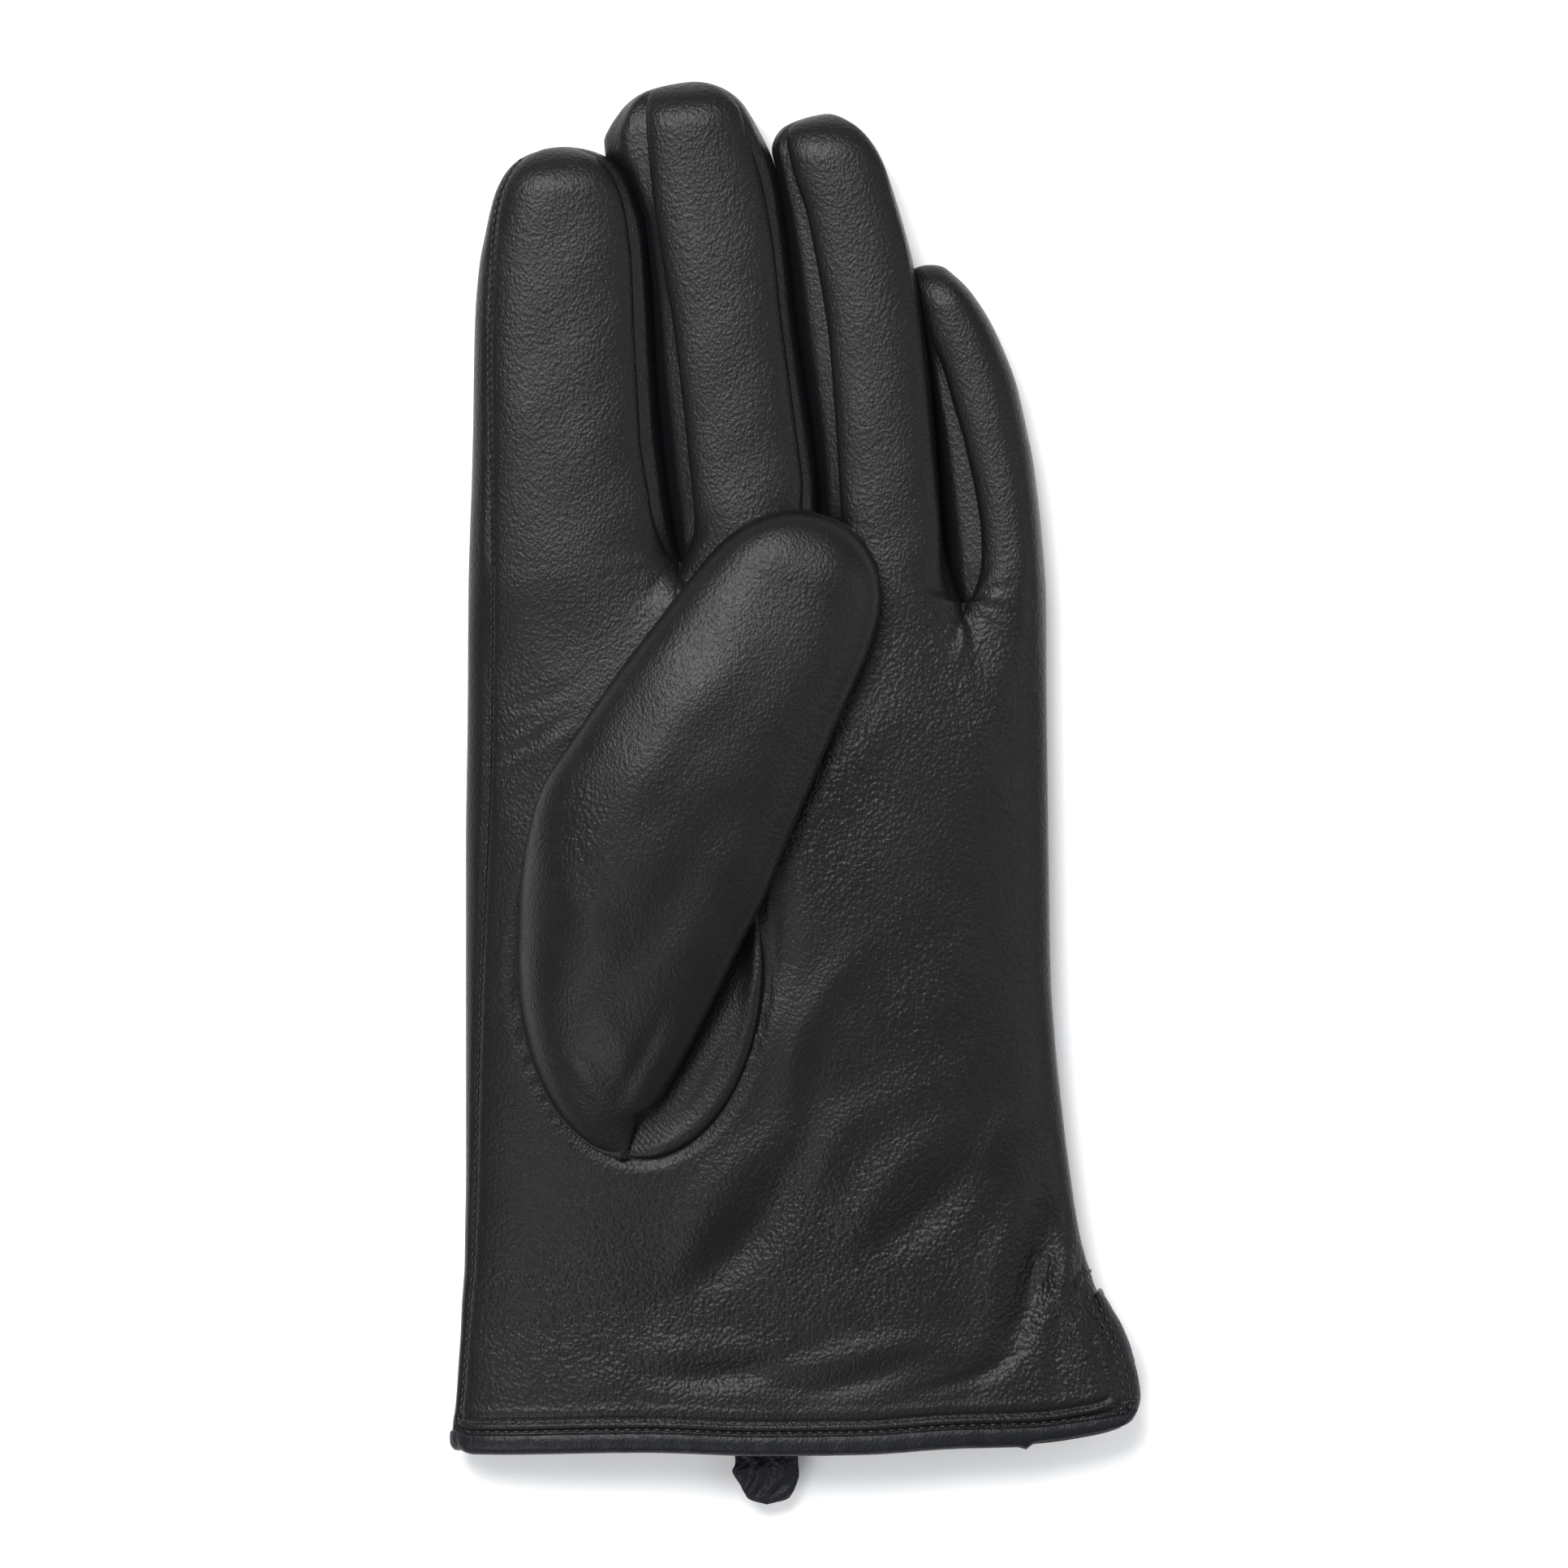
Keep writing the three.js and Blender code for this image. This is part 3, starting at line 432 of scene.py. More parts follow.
# %% Folds
CROTCHES = [(-14.0, 82.6), (12.0, 82.3), (38.4, 74.7)]
OVAL = dict(x=-21.4, y=7.6, a=23.0, b=36.2)
FOLDS = [  # x, y, half length, half width, direction in degrees, height
    [1.5, -40, 19, 4.2, 52, -0.95], [-6, -33, 17, 4.5, 50, 0.55], [12, -27, 17, 4.6, 50, 0.5],
    [34, -36, 15, 3.6, 47, -0.9], [25, -31, 15, 4.0, 48, 0.55], [40, -28, 12, 3.5, 50, 0.45],
    [51.5, -53, 15, 2.7, 72, -1.0], [57.5, -48, 12, 2.6, 66, 0.75], [45, -48, 14, 3.2, 76, 0.5],
    [-8, -68.5, 15, 2.2, 4, -0.55], [-10, -63.5, 18, 3.0, 2, 0.35], [15, -70, 14, 2.4, 8, -0.4],
    [22, -64, 12, 3.0, 14, 0.35], [42, -68, 9, 0.9, 24, -0.35], [60, -62, 13, 2.2, 100, 0.45],
    [55.5, -60, 10, 1.8, 96, -0.35], [-41, 50, 7, 0.7, 34, -0.22], [-40, 47.6, 7, 0.8, 38, 0.15],
    [-44, 44.5, 6, 0.7, 40, -0.2], [-42, 53, 6, 0.7, 30, -0.14], [-43, 39.5, 5, 0.7, 52, -0.16],
    [-39, 57.5, 6, 1.0, 24, -0.12], [-44, 47.5, 5, 0.6, 30, -0.14], [13, 40, 16, 4.5, 62, 0.5],
    [4, 8, 14, 2.6, 74, -0.4], [8, -6, 16, 3.2, 70, 0.35], [44, 55, 16, 6.0, 80, 0.25]]
FOLD_DEPTH = 1.7
RNG = np.random.default_rng(16)
WAVES = [(RNG.uniform(0, 2 * np.pi), RNG.uniform(0, 2 * np.pi), 2 * np.pi / RNG.uniform(13, 40))
         for _ in range(14)]


def ridges(x, y, folds, bow=0.0):
    """Sum of height * exp(-(along/length)^2 - (over/width)^2). A ridge bows aside by bow times
    the distance along it, squared."""
    z = np.zeros_like(x)
    for cx, cy, length, width, degrees, height in folds:
        c, s = math.cos(math.radians(degrees)), math.sin(math.radians(degrees))
        along, over = (x - cx) * c + (y - cy) * s, (y - cy) * c - (x - cx) * s
        over = over + bow * along ** 2 * np.sign(height)
        z += height * np.exp(-(along / length) ** 2 - (over / width) ** 2)
    return z


def unevenness(x, y):
    """Fourteen long sine waves of height one, in random directions."""
    return sum(np.sin(rate * (x * math.cos(direction) + y * math.sin(direction)) + phase)
               for direction, phase, rate in WAVES)


def palm_relief(x, y):
    """Height added to the palm: all folds, a slow unevenness, and puckers that ray out from each
    crotch and fade within a few millimetres."""
    z = FOLD_DEPTH * ridges(x, y, FOLDS, 0.012) + 0.02 * unevenness(x, y)
    for cx, cy in CROTCHES:
        away, angle = np.hypot(x - cx, y - cy), np.arctan2(y - cy, x - cx)
        ray = np.sin(11 * angle + 0.9 * np.sin(0.8 * away + cx)) * np.exp(-((away - 5) / 4) ** 2)
        facing = smooth_step(-1, 0.3, np.cos(angle - 3.6 + cx / 9))
        z += 0.12 * ray * smooth_step(1.5, 4, away) * facing
    return z


def oval_distance(x, y):
    """How far a point is outside the thumb's oval, roughly, and less than zero inside it: the
    oval's equation divided by the length of its slope."""
    u, v = (x - OVAL["x"]) / OVAL["a"], (y - OVAL["y"]) / OVAL["b"]
    slope = np.hypot(2 * u / OVAL["a"], 2 * v / OVAL["b"])
    return (u * u + v * v - 1) / np.maximum(slope, 0.02)


def hem_relief(d):
    """The cuff's hem by distance d from the edge: two stitched grooves and a ridge between."""
    bell = lambda middle, width: np.exp(-((d - middle) / width) ** 2)
    return 0.42 * (bell(4.7, 0.8) - bell(3.7, 0.42) - bell(5.7, 0.42)) + 0.25 * bell(7.2, 1.1)


# %% [markdown]
# ## The trank
# The hand is cut as one skin, the trank: palm, fold on the little-finger side, back, and a side
# seam beside the index finger. It is one mesh here too, of a palm grid and a back grid that meet
# at the fold and the seam. Their top rows are the fingers' first rows, so nothing gapes there.
# Below the vent the two grids part, and the palm's corner flares out.

# %% Trank grids
CUFF_LINE = [  # share across from the side seam, y of the cuff's edge
    [0, -82.2], [0.012, -82.9], [0.28, -82.3], [0.45, -82.9], [0.6, -82.7], [0.74, -81.6],
    [0.86, -81.2], [0.94, -79.9], [0.985, -78.5], [1, -77.3]]
ORDER = ["index", "middle", "ring", "little"]
CROTCH_REACH, CROWN_REACH, BACK_REACH = 3.2, 10, 10  # how far the fingers' forms run on
VENT_LIFT, VENT_DROP, VENT_TUCK = 1.1, 0.9, 1.6  # how the palm and the back part at the vent
FAR = 99.0  # a distance from the edge at which the hem has ended


def row_shares(fine):
    """Shares from the cuff to the fingers, packed closer over the hem than on the palm."""
    hem = np.linspace(0, 0.058, int(26 / fine), endpoint=False)
    return np.concatenate([hem, np.linspace(0.058, 1, int(172 / fine))])[:, None]


def hand_grids(fine=1.0, inset=0.0, relief=True):
    """The palm grid and the back grid of the hand, or of its lining with an inset.

    Each column starts under its point in the fingers' first row and keeps its share of the
    section's width down to the cuff. The difference between the finger's form and the hand's
    form fades with the distance d below the fingers as exp(-(d/reach)^2). The reach is short
    beside a crotch, whose dip ends soon, and long at a finger's crown and at both outer edges.
    Near the fold and the side seam the back's rows take the palm's y, so the grids meet."""
    skins = SKINS if fine == 1.0 else {n: finger_grid(FINGERS[n], fine=fine) for n in ORDER}
    v = row_shares(fine)

    top = np.concatenate([skins[n][0][0][(0 if n == "index" else 1):] for n in ORDER])
    side = np.concatenate([np.cos(np.pi * np.linspace(-1, 1, skins[n][0].shape[1]) / 2)[
        (0 if n == "index" else 1):] for n in ORDER])
    side[:skins["index"][0].shape[1] // 2] = 1
    side[-(skins["little"][0].shape[1] // 2):] = 1
    middle, half, _, _, _ = hand_sizes(top[:, 1])
    start = seam_place(top[:, 1])
    k = ((top[:, 0] - middle) / half - start) / (1 - start)
    k = (k - k[0]) / (k[-1] - k[0])
    edge_y = line(CUFF_LINE, k)[:, 0]

    def body(y, k):
        middle, half, height, waist, lift = hand_sizes(y)
        xi = mix(seam_place(y), 1, k)
        return points_at(middle + half * xi, y, lift + waist + (height - waist) * palm_form(xi))

    y = edge_y + (top[:, 1] - edge_y) * v
    palm = body(y, k[None, :] + 0 * y)
    below = top[None, :, 1] - y
    reach = CROTCH_REACH + CROWN_REACH * side[None, :] ** 2
    palm += (top - palm[-1])[None] * np.exp(-(below / reach) ** 2)[..., None]

    back_parts = [skins["little"][1][0]]
    back_parts += [skins[n][2][0][1:] for n in reversed(ORDER)]
    back_parts += [skins["index"][3][0][1:]]
    low = np.concatenate(back_parts)
    wrap = len(skins["index"][3][0]) - 1
    middle, half, _, waist, _ = hand_sizes(low[:, 1])
    across = (low[:, 0] - middle) / half
    turn = np.argmin(across[-wrap - 1:]) + len(low) - wrap - 1
    across = np.where(across > 0, across / across[0], -across / across[turn])
    climb = np.clip((across[turn:] + 1) / (across[-1] + 1), 0, 1)
    y = BACK_EDGE + (low[None, :, 1] - BACK_EDGE) * v
    near_fold = np.exp(-((1 - across) / 0.3) ** 2)[None, :]
    near_seam = np.exp(-(np.arange(len(low))[::-1] / 9.0) ** 2)[None, :]
    y = y + (palm[:, -1, 1] - y[:, 0])[:, None] * near_fold
    y = y + (palm[:, 0, 1] - y[:, -1])[:, None] * near_seam
    middle, half, height, waist, lift = hand_sizes(y)
    xi = across[None, :] + 0 * y
    xi[:, turn:] = -1 + (seam_place(y)[:, turn:] + 1) * climb
    z = back_level(xi, waist)
    z[:, turn:] = (waist + (height - waist) * palm_form(xi))[:, turn:]
    back = points_at(middle + half * xi, y, z + lift)
    below = low[None, :, 1] - y
    back += (low - back[-1])[None] * np.exp(-(below / BACK_REACH) ** 2)[..., None]

    split = smooth_step(0, 9, VENT_TOP - palm[..., 1])
    palm[..., 2] += VENT_LIFT * split * np.exp(-((1 - k[None, :]) / 0.06) ** 2)
    split = smooth_step(0, 9, VENT_TOP - back[..., 1]) * np.exp(-((1 - across) / 0.1) ** 2)
    back[..., 2] -= VENT_DROP * split
    back[..., 0] -= VENT_TUCK * split
    joined = palm[:, -1, 1] > VENT_TOP
    back[joined, 0] = palm[joined, -1]
    back[:, -1] = palm[:, 0]

    if relief:
        x, y = palm[..., 0], palm[..., 1]
        n = grid_normals(palm)
        edge = np.concatenate([palm[0], palm[~joined, -1]])[:, :2]
        d = np.full(x.shape, FAR)
        near = (y < -70) | ((x > 54) & (y < -48))
        d[near] = np.sqrt(((palm[near][:, None, :2] - edge[None]) ** 2).sum(-1).min(1))
        out = oval_distance(x, y)
        rise = palm_relief(x, y) * smooth_step(0, 5, d) * smooth_step(0, 0.05, 1 - k)[None, :]
        rise += hem_relief(d)  # and next the groove and the step down inside the thumb's oval
        rise -= 1.0 * np.exp(-(out / 0.8) ** 2) + 1.3 * smooth_step(0, -3, out)
        palm += n * rise[..., None]
        back, palm = seam_groove(back, palm)
    if inset:
        for grid in (palm, back):
            middle, half, _, waist, lift = hand_sizes(grid[..., 1])
            grid[..., 0] = middle + (grid[..., 0] - middle) * (1 - inset / half)
            grid[..., 2] = lift + waist + (grid[..., 2] - lift - waist) * (1 - inset / waist)
    return palm, back


PALM, BACK = hand_grids()
print("palm grid", PALM.shape, "back grid", BACK.shape)


# %% [markdown]
# ## Where the grain is coarse
# Nappa's grain isn't even: it lies flat where the skin is stretched over the fingers, and stands
# up in small pebbles near the cuff and beside the thumb. Each point stores how coarse it is.

# %% Grain fields
COARSE = [  # x, y, radius across, radius along, amount
    [-20, -58, 38, 20, 0.8], [20, -42, 30, 22, 1.0], [30, 0, 16, 30, 0.55], [14, 38, 11, 20, 1.0],
    [36, 60, 22, 22, 0.55], [54, -58, 16, 20, 1.0], [-44, 52, 10, 16, 0.4], [-34, 30, 9, 12, 0.7]]


def coarse_at(p):
    """How pebbly the leather is at each point: the strongest of a few bell-shaped patches."""
    amount = np.full(p.shape[:-1], 0.18)
    for x, y, across, along, most in COARSE:
        bell = np.exp(-((p[..., 0] - x) / across) ** 2 - ((p[..., 1] - y) / along) ** 2)
        amount = np.maximum(amount, most * bell)
    return amount


# %% Trank mesh
LEATHER_THICKNESS = 0.9
trank = sheet_mesh("trank", [PALM, BACK], LEATHER_THICKNESS,
                   {"coarse": [coarse_at(PALM), coarse_at(BACK) * 0.4]})
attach(trank, "hand")
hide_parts("trank_hand")
PIECES = {trank.name: "nappa_leather"}  # piece and its material slot

# %% [markdown]
# ## Finger pieces
# Each finger's grids become its separate cut pieces: palm face, back, and fourchettes.

# %% Finger pieces
BOTH_SIDES = [("palm_face", [0]), ("fourchette_outer", [1]), ("back_face", [2]),
              ("fourchette_inner", [3])]
CUTS = {
    "index": [("palm_face", [0]), ("fourchette_outer", [1]), ("back_face", [2, 3])],
    "middle": BOTH_SIDES, "ring": BOTH_SIDES,
    "little": [("trank_face", [0, 1, 2]), ("fourchette_inner", [3])],
}


def finger_bend(piece):
    """Bakes the piece's placement into its mesh."""
    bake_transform(piece)


def finger_relief(grid):
    """Slow dents along a finger and its share of the crotch puckers, along the normal."""
    n = grid_normals(grid)
    rise = palm_relief(grid[..., 0], grid[..., 1]) * smooth_step(0.35, 0.75, n[..., 2])
    return grid + n * rise[..., None]


wrap, face = seam_groove(SKINS["index"][3], finger_relief(SKINS["index"][0]))
GROOVED = {"index_palm_face": face, "index_back_face": wrap}
for finger_name, cuts in CUTS.items():
    for cut_name, parts in cuts:
        node = f"{finger_name}_{cut_name}"
        grids = [SKINS[finger_name][i] for i in parts]
        if parts[0] == 0:
            grids = [finger_relief(grids[0]), *grids[1:]]
        if node in GROOVED:
            grids = [GROOVED[node]] if parts == [0] else [grids[0], GROOVED[node]]
        piece = sheet_mesh(node + "_leather", grids, LEATHER_THICKNESS,
                           {"coarse": [coarse_at(g) for g in grids]})
        finger_bend(piece)
        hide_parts(node)
        PIECES[piece.name] = "nappa_leather"

# %% [markdown]
# ## The thumb
# The thumb is a puffed tube set into an oval in the palm, and here it lies folded across it. Its
# outline is two curves that run from the foot of the oval to the tip, matched point by point
# square to the thumb. Between them the upper skin is a superellipse. Where the thumb is sewn to
# the oval its edge starts at the palm, and where it is free its edge is round underneath too.

# %% Thumb grids
THUMB_LEFT = [
    [0, -24.2, -28.2], [1, -31, -25.4], [2, -36.9, -19.6], [3, -41.2, -11.2], [4, -43.6, -2],
    [5, -44.4, 6], [6, -44.4, 14], [7, -44, 22], [8, -42.6, 31.1], [9, -39.7, 40.8],
    [10, -34.2, 49.6], [11, -25.4, 62.4], [12, -17, 73.4], [13, -11.4, 80.6], [14, -6.7, 86],
    [15, -1.4, 90], [16, 4, 91.9], [17, 9.6, 92.3]]
THUMB_RIGHT = [
    [0, -24.2, -28.2], [1, -21.8, -20.7], [2, -18.2, -17.6], [3, -14, -10.6], [4, -10.1, -3],
    [5, -6.3, 4.5], [6, -2.6, 12.1], [7, 1.2, 19.4], [8, 4.3, 27], [9, 7.3, 34.2],
    [10, 10.2, 41], [11, 14.3, 51], [12, 18.6, 60.6], [13, 21.7, 68.5], [14, 23.2, 76],
    [15, 21.8, 83], [16, 17.2, 89], [17, 9.6, 92.3]]
THUMB_CROWN = [  # step, height over the palm
    [0, 0], [1, 3.0], [2, 5.4], [3, 7.8], [4, 9.6], [5, 10.9], [6, 11.8], [7, 12.3], [8, 12.7],
    [10, 12.9], [12, 12.6], [13.5, 12.0]]
THUMB_FOLDS = [  # x, y, half length, half width, direction, height
    [-35, 22, 12, 3.4, 118, 0.5], [-26, -6, 12, 3.5, 125, 0.35], [-14, 22, 16, 5, 60, -0.5],
    [-20, 44, 14, 5, 62, 0.5], [-32, -12, 8, 2.2, 128, 0.4], [-21, -9, 9, 1.8, 62, -0.45],
    [-24, 8, 10, 3, 40, -0.35], [-6, 60, 12, 5, 55, 0.35]]


def thumb_grids(fine=1.0, inset=0.0):
    """The thumb's upper skin and under skin, which share both side edges.

    Upper height is the palm plus crown * (w + (1-w) * (1-|xi|^2.5)^0.4), and the under skin's
    is the palm plus crown * w * (1 - the same form), where w is how high the round side stands.
    The crown falls to the tip with the square root of 1 - t squared."""
    near_tip = 17 - 3.4 * (1 - np.sin(np.linspace(0, np.pi / 2, int(44 / fine))))
    t = np.concatenate([np.linspace(0, 13.6, int(150 / fine), endpoint=False), near_tip])[:, None]
    turn = np.linspace(0, 1, int(64 / fine))[None, :]
    xi = -np.cos(np.pi * turn)
    left, right = line(THUMB_LEFT, t[:, 0], True), line(THUMB_RIGHT, t[:, 0], True)
    flat = left[:, None] + (right - left)[:, None] * ((xi + 1) / 2)[..., None]
    x, y = flat[..., 0], flat[..., 1]
    end = np.clip((t - 13.5) / 3.5, 0, 1)
    crown = line(THUMB_CROWN, t[:, 0])[:, :1] * np.sqrt(1 - end ** 2)
    sewn = 1 - smooth_step(6.2, 9.5, t)
    w = mix(mix(0.4, 0.0, sewn), 0.42 * smooth_step(0.4, 4, t), (xi + 1) / 2)
    form = (1 - np.abs(xi) ** 2.5) ** 0.4
    base = palm_level(x, y) - 1.2 * sewn * (1 - xi) / 2 + 0.25
    upper = points_at(x, y, base + crown * (w + (1 - w) * form))
    under = points_at(x, y, base + crown * w * (1 - form))[:, ::-1]
    if inset:
        centre = (upper + under[:, ::-1]) / 2
        shrink = np.clip(1 - inset / np.maximum(crown / 2, 0.1), 0.05, 1)[..., None]
        middle = flat.mean(1, keepdims=True)
        for grid, mid in ((upper, centre), (under, centre[:, ::-1])):
            grid[..., 2:] = mid[..., 2:] + (grid[..., 2:] - mid[..., 2:]) * shrink
            grid[..., :2] = middle + (grid[..., :2] - middle) * 0.9
    else:
        rise = ridges(x, y, THUMB_FOLDS) + 0.03 * unevenness(y, x)
        near_seam = np.exp(-((xi + 1) / 0.12) ** 2) * sewn
        rise += 0.12 * near_seam * np.sin(2 * np.pi * t * 5.2) * smooth_step(0, 0.06, xi + 1)
        upper += grid_normals(upper) * (rise * form * smooth_step(0, 2, t))[..., None]
    return upper, under


THUMB_UPPER, THUMB_UNDER = thumb_grids()
thumb_coarse = coarse_at(THUMB_UPPER) * 0.8
for node, grid in (("thumb_upper", THUMB_UPPER), ("thumb_under", THUMB_UNDER)):
    piece = sheet_mesh(node + "_leather", [grid], LEATHER_THICKNESS, {"coarse": [thumb_coarse]})
    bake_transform(piece)
    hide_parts(node)
    PIECES[piece.name] = "nappa_leather"

# %% [markdown]
# ## The gusset
# Between the thumb's fold and the right of the oval a narrow gusset shows. It lets the thumb
# open. It is sewn to the oval, swells a little beside that seam, and runs in under the thumb,
# with fine gathers along the fold.

# %% Gusset
FOLD_FOOT, FOLD_TOP = np.array([-24.2, -25.0]), np.array([1.6, 20.4])
FOLD_LEFT = np.array([-0.869, 0.494])  # square to the fold, towards the thumb's far side
GUSSET_THICKNESS, WEB_GAP, WEB_LENGTH, WEB_SLANT, WEB_LEVEL = 0.6, 3.0, 8.0, 0.06, 0.016


def gusset_grid(rows=110, columns=64):
    """Rows follow the oval from its foot to where the fold ends; columns run from under the
    thumb out to the oval. Height is the palm plus a swelling beside the seam, less the seam's
    own groove and a dip under the thumb, plus gathers that are strongest at the fold."""
    u = np.linspace(0, 1, rows)[:, None]
    angle = np.radians(mix(-97.0, 19.5, u))
    arc = np.concatenate([OVAL["x"] + OVAL["a"] * np.cos(angle),
                          OVAL["y"] + OVAL["b"] * np.sin(angle)], 1)
    fold = FOLD_FOOT + (FOLD_TOP - FOLD_FOOT) * u
    hidden = fold + FOLD_LEFT * (3 + 7.5 * np.sin(np.pi * np.clip(u, 0.02, 0.98) ** 1.6))
    v = np.linspace(0, 1, columns)[None, :]
    v = 1 - (1 - v) ** 1.5
    flat = hidden[:, None] + (arc - hidden)[:, None] * v[..., None]
    x, y = flat[..., 0], flat[..., 1]
    from_seam = np.linalg.norm(flat - arc[:, None], axis=-1)
    past_fold = ((flat - FOLD_FOOT) @ FOLD_LEFT)
    open_width = np.linalg.norm(arc - fold, axis=1)[:, None]
    rise = 0.75 * np.exp(-((from_seam - 2.2) / 2.2) ** 2) - 1.5 * np.exp(-(from_seam / 0.6) ** 2)
    rise -= 1.4 * smooth_step(-7, 1, past_fold)
    gather = np.sin(2 * np.pi * (u * 52 + 0.35 * past_fold)) * np.exp(-((past_fold + 2.5) / 3) ** 2)
    rise += 0.13 * gather * smooth_step(1, 5, open_width)
    return points_at(x, y, palm_level(x, y) + rise)


GUSSET = gusset_grid()
gusset = sheet_mesh("gusset_leather", [GUSSET], GUSSET_THICKNESS,
                    {"coarse": [coarse_at(GUSSET) * 0.5]})
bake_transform(gusset)
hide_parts("thumb_gusset")
PIECES[gusset.name] = "nappa_leather"

# %% [markdown]
# ## Binding round the cuff
# The cut edge is hidden by a folded strip that runs along the palm's edge, round the flared
# corner, up one side of the vent, down the other side and back along the back of the hand. Its
# profile is a flat hook, carried along the edge with the leather's own inward direction and
# normal at every step.

# %% Binding
def edge_frames(p_edge, p_inner, normals):
    """Points of an edge, unit directions from it into the sheet, and normals."""
    inward = p_inner - p_edge
    inward -= normals * (inward * normals).sum(-1, keepdims=True)
    return p_edge, inward / np.linalg.norm(inward, axis=-1, keepdims=True), normals


def smooth_along(a, steps):
    """Averages each row with its neighbours, and keeps the two end rows."""
    a = a.copy()
    for _ in range(steps):
        a[1:-1] = (a[:-2] + 2 * a[1:-1] + a[2:]) / 4
    return a


def cuff_path():
    """The whole edge as points, inward directions and normals, one step about 0.7 mm."""
    palm_n, back_n = grid_normals(PALM), grid_normals(BACK)
    open_rows = np.flatnonzero(PALM[:, -1, 1] < VENT_TOP)
    last = open_rows[-1]
    runs = [edge_frames(PALM[0], PALM[10], palm_n[4]),
            edge_frames(PALM[1:last + 1, -1], PALM[1:last + 1, -12], palm_n[1:last + 1, -4]),
            edge_frames(BACK[last:0:-1, 0], BACK[last:0:-1, 6], back_n[last:0:-1, 2]),
            edge_frames(BACK[0], BACK[10], back_n[4])]
    e, t, n = [np.concatenate([run[i] for run in runs]) for i in range(3)]
    walked = np.concatenate([[0], np.cumsum(np.linalg.norm(np.diff(e, axis=0), axis=1))])
    keep = np.concatenate([[True], np.diff(walked) > 1e-6])
    e, t, n, walked = e[keep], t[keep], n[keep], walked[keep]
    even = np.linspace(0, walked[-1], int(walked[-1] / 0.7))
    e, t, n = [np.stack([np.interp(even, walked, a[:, i]) for i in range(3)], -1)
               for a in (e, t, n)]
    e, t, n = smooth_along(e, 3), smooth_along(t, 14), smooth_along(n, 14)
    n /= np.linalg.norm(n, axis=1, keepdims=True)
    t -= n * (t * n).sum(1, keepdims=True)
    return e, t / np.linalg.norm(t, axis=1, keepdims=True), n, even


EDGE, INWARD, OUTWARD, WALKED = cuff_path()
HOOK = np.array([  # how far in from the edge, how far out from the leather
    [3.35, -0.1], [3.3, 0.3], [2.9, 0.55], [2.0, 0.72], [1.0, 0.78], [0.3, 0.62], [-0.35, 0.15],
    [-0.6, -0.45], [-0.4, -1.1], [0.3, -1.5], [1.2, -1.6], [2.4, -1.55], [2.5, -1.1], [1.2, -1.0],
    [0.6, -0.6], [1.2, -0.1]])


def along_edge(profile, swell):
    """Carries a profile of [in, out] pairs along the cuff's edge, swollen outwards by swell."""
    a, b = profile[:, 0][:, None, None], profile[:, 1][:, None, None]
    b = b * swell[None, :, None]
    return EDGE[None] + INWARD[None] * a + OUTWARD[None] * b


NOTCH_X = 50.2  # a small notch in the rolled edge, on the palm's side only
on_palm = WALKED < 140
swell = 1 + 0.10 * np.sin(WALKED * 1.1) * np.sin(WALKED * 0.23 + 1)
notch = smooth_step(50, 51.4, EDGE[:, 0]) * smooth_step(-84, -81, EDGE[:, 1]) * on_palm
notch = notch - 0.9 * np.exp(-((EDGE[:, 0] - NOTCH_X) / 0.9) ** 2) * on_palm
hook = np.concatenate([HOOK, HOOK[:1]])
BINDING_GRID = along_edge(hook[::-1], swell)
lower = smooth_step(1.6, -0.4, hook[::-1, 0])[:, None] * notch[None, :] * 0.55
BINDING_GRID += INWARD[None] * lower[..., None]
binding = sheet_mesh("cuff_binding_leather", [BINDING_GRID], 0,
                     {"coarse": [np.full(BINDING_GRID.shape[:2], 0.35)]})
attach(binding, "hand")
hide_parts("cuff_binding")
PIECES[binding.name] = "binding_leather"

# %% [markdown]
# ## Stitches
# A seam is a row of small thread ovals, half sunk in a groove. One stitch is six points round and
# five along. All stitches of a row are one array, so there is no loop over them. The thumb's
# seam shows no thread, only its groove.

# %% Stitches
def drape(path, surface, lift):
    """Moves points onto a grid: each goes to the plane of its nearest grid point, plus a lift."""
    p, n = surface.reshape(-1, 3), grid_normals(surface).reshape(-1, 3)
    nearest = np.concatenate([((q[:, None] - p[None]) ** 2).sum(-1).argmin(1)
                              for q in np.array_split(path, max(1, len(path) // 40))])
    off = ((path - p[nearest]) * n[nearest]).sum(1, keepdims=True)
    return path - n[nearest] * (off - lift), n[nearest]


def stitch_row(name, path, normals, pitch=1.9, long=1.25, wide=0.34, tall=0.2):
    """Thread ovals along a path. Along a stitch its half width is the square root of 1 - a^2, so
    both ends are round, and its middle stands above the leather."""
    step = np.linalg.norm(np.diff(path, axis=0), axis=1)
    walked = np.concatenate([[0], np.cumsum(step)])
    at = np.arange(pitch / 2, walked[-1] - pitch / 2, pitch)
    pick = lambda a, s: np.stack([np.interp(s, walked, a[:, i]) for i in range(3)], -1)
    centre, n = pick(path, at), pick(normals, at)
    ahead = pick(path, at + long / 2) - pick(path, at - long / 2)
    ahead /= np.maximum(np.linalg.norm(ahead, axis=1, keepdims=True), 1e-9)
    n -= ahead * (n * ahead).sum(1, keepdims=True)
    n /= np.linalg.norm(n, axis=1, keepdims=True)
    side = np.cross(ahead, n)
    a = np.array([-1, -0.75, 0, 0.75, 1])[None, :, None]
    round_ = np.linspace(0, 2 * np.pi, 7)[None, None, :]
    width = np.sqrt(np.maximum(1 - a ** 2, 0))
    part = lambda v: v[:, None, None, :]
    p = (part(centre) + part(ahead) * (a * long / 2)[..., None]
         + part(side) * (width * np.cos(round_) * wide / 2)[..., None]
         + part(n) * (width * np.sin(round_) * tall)[..., None])
    return sheet_mesh(name, list(p), 0)


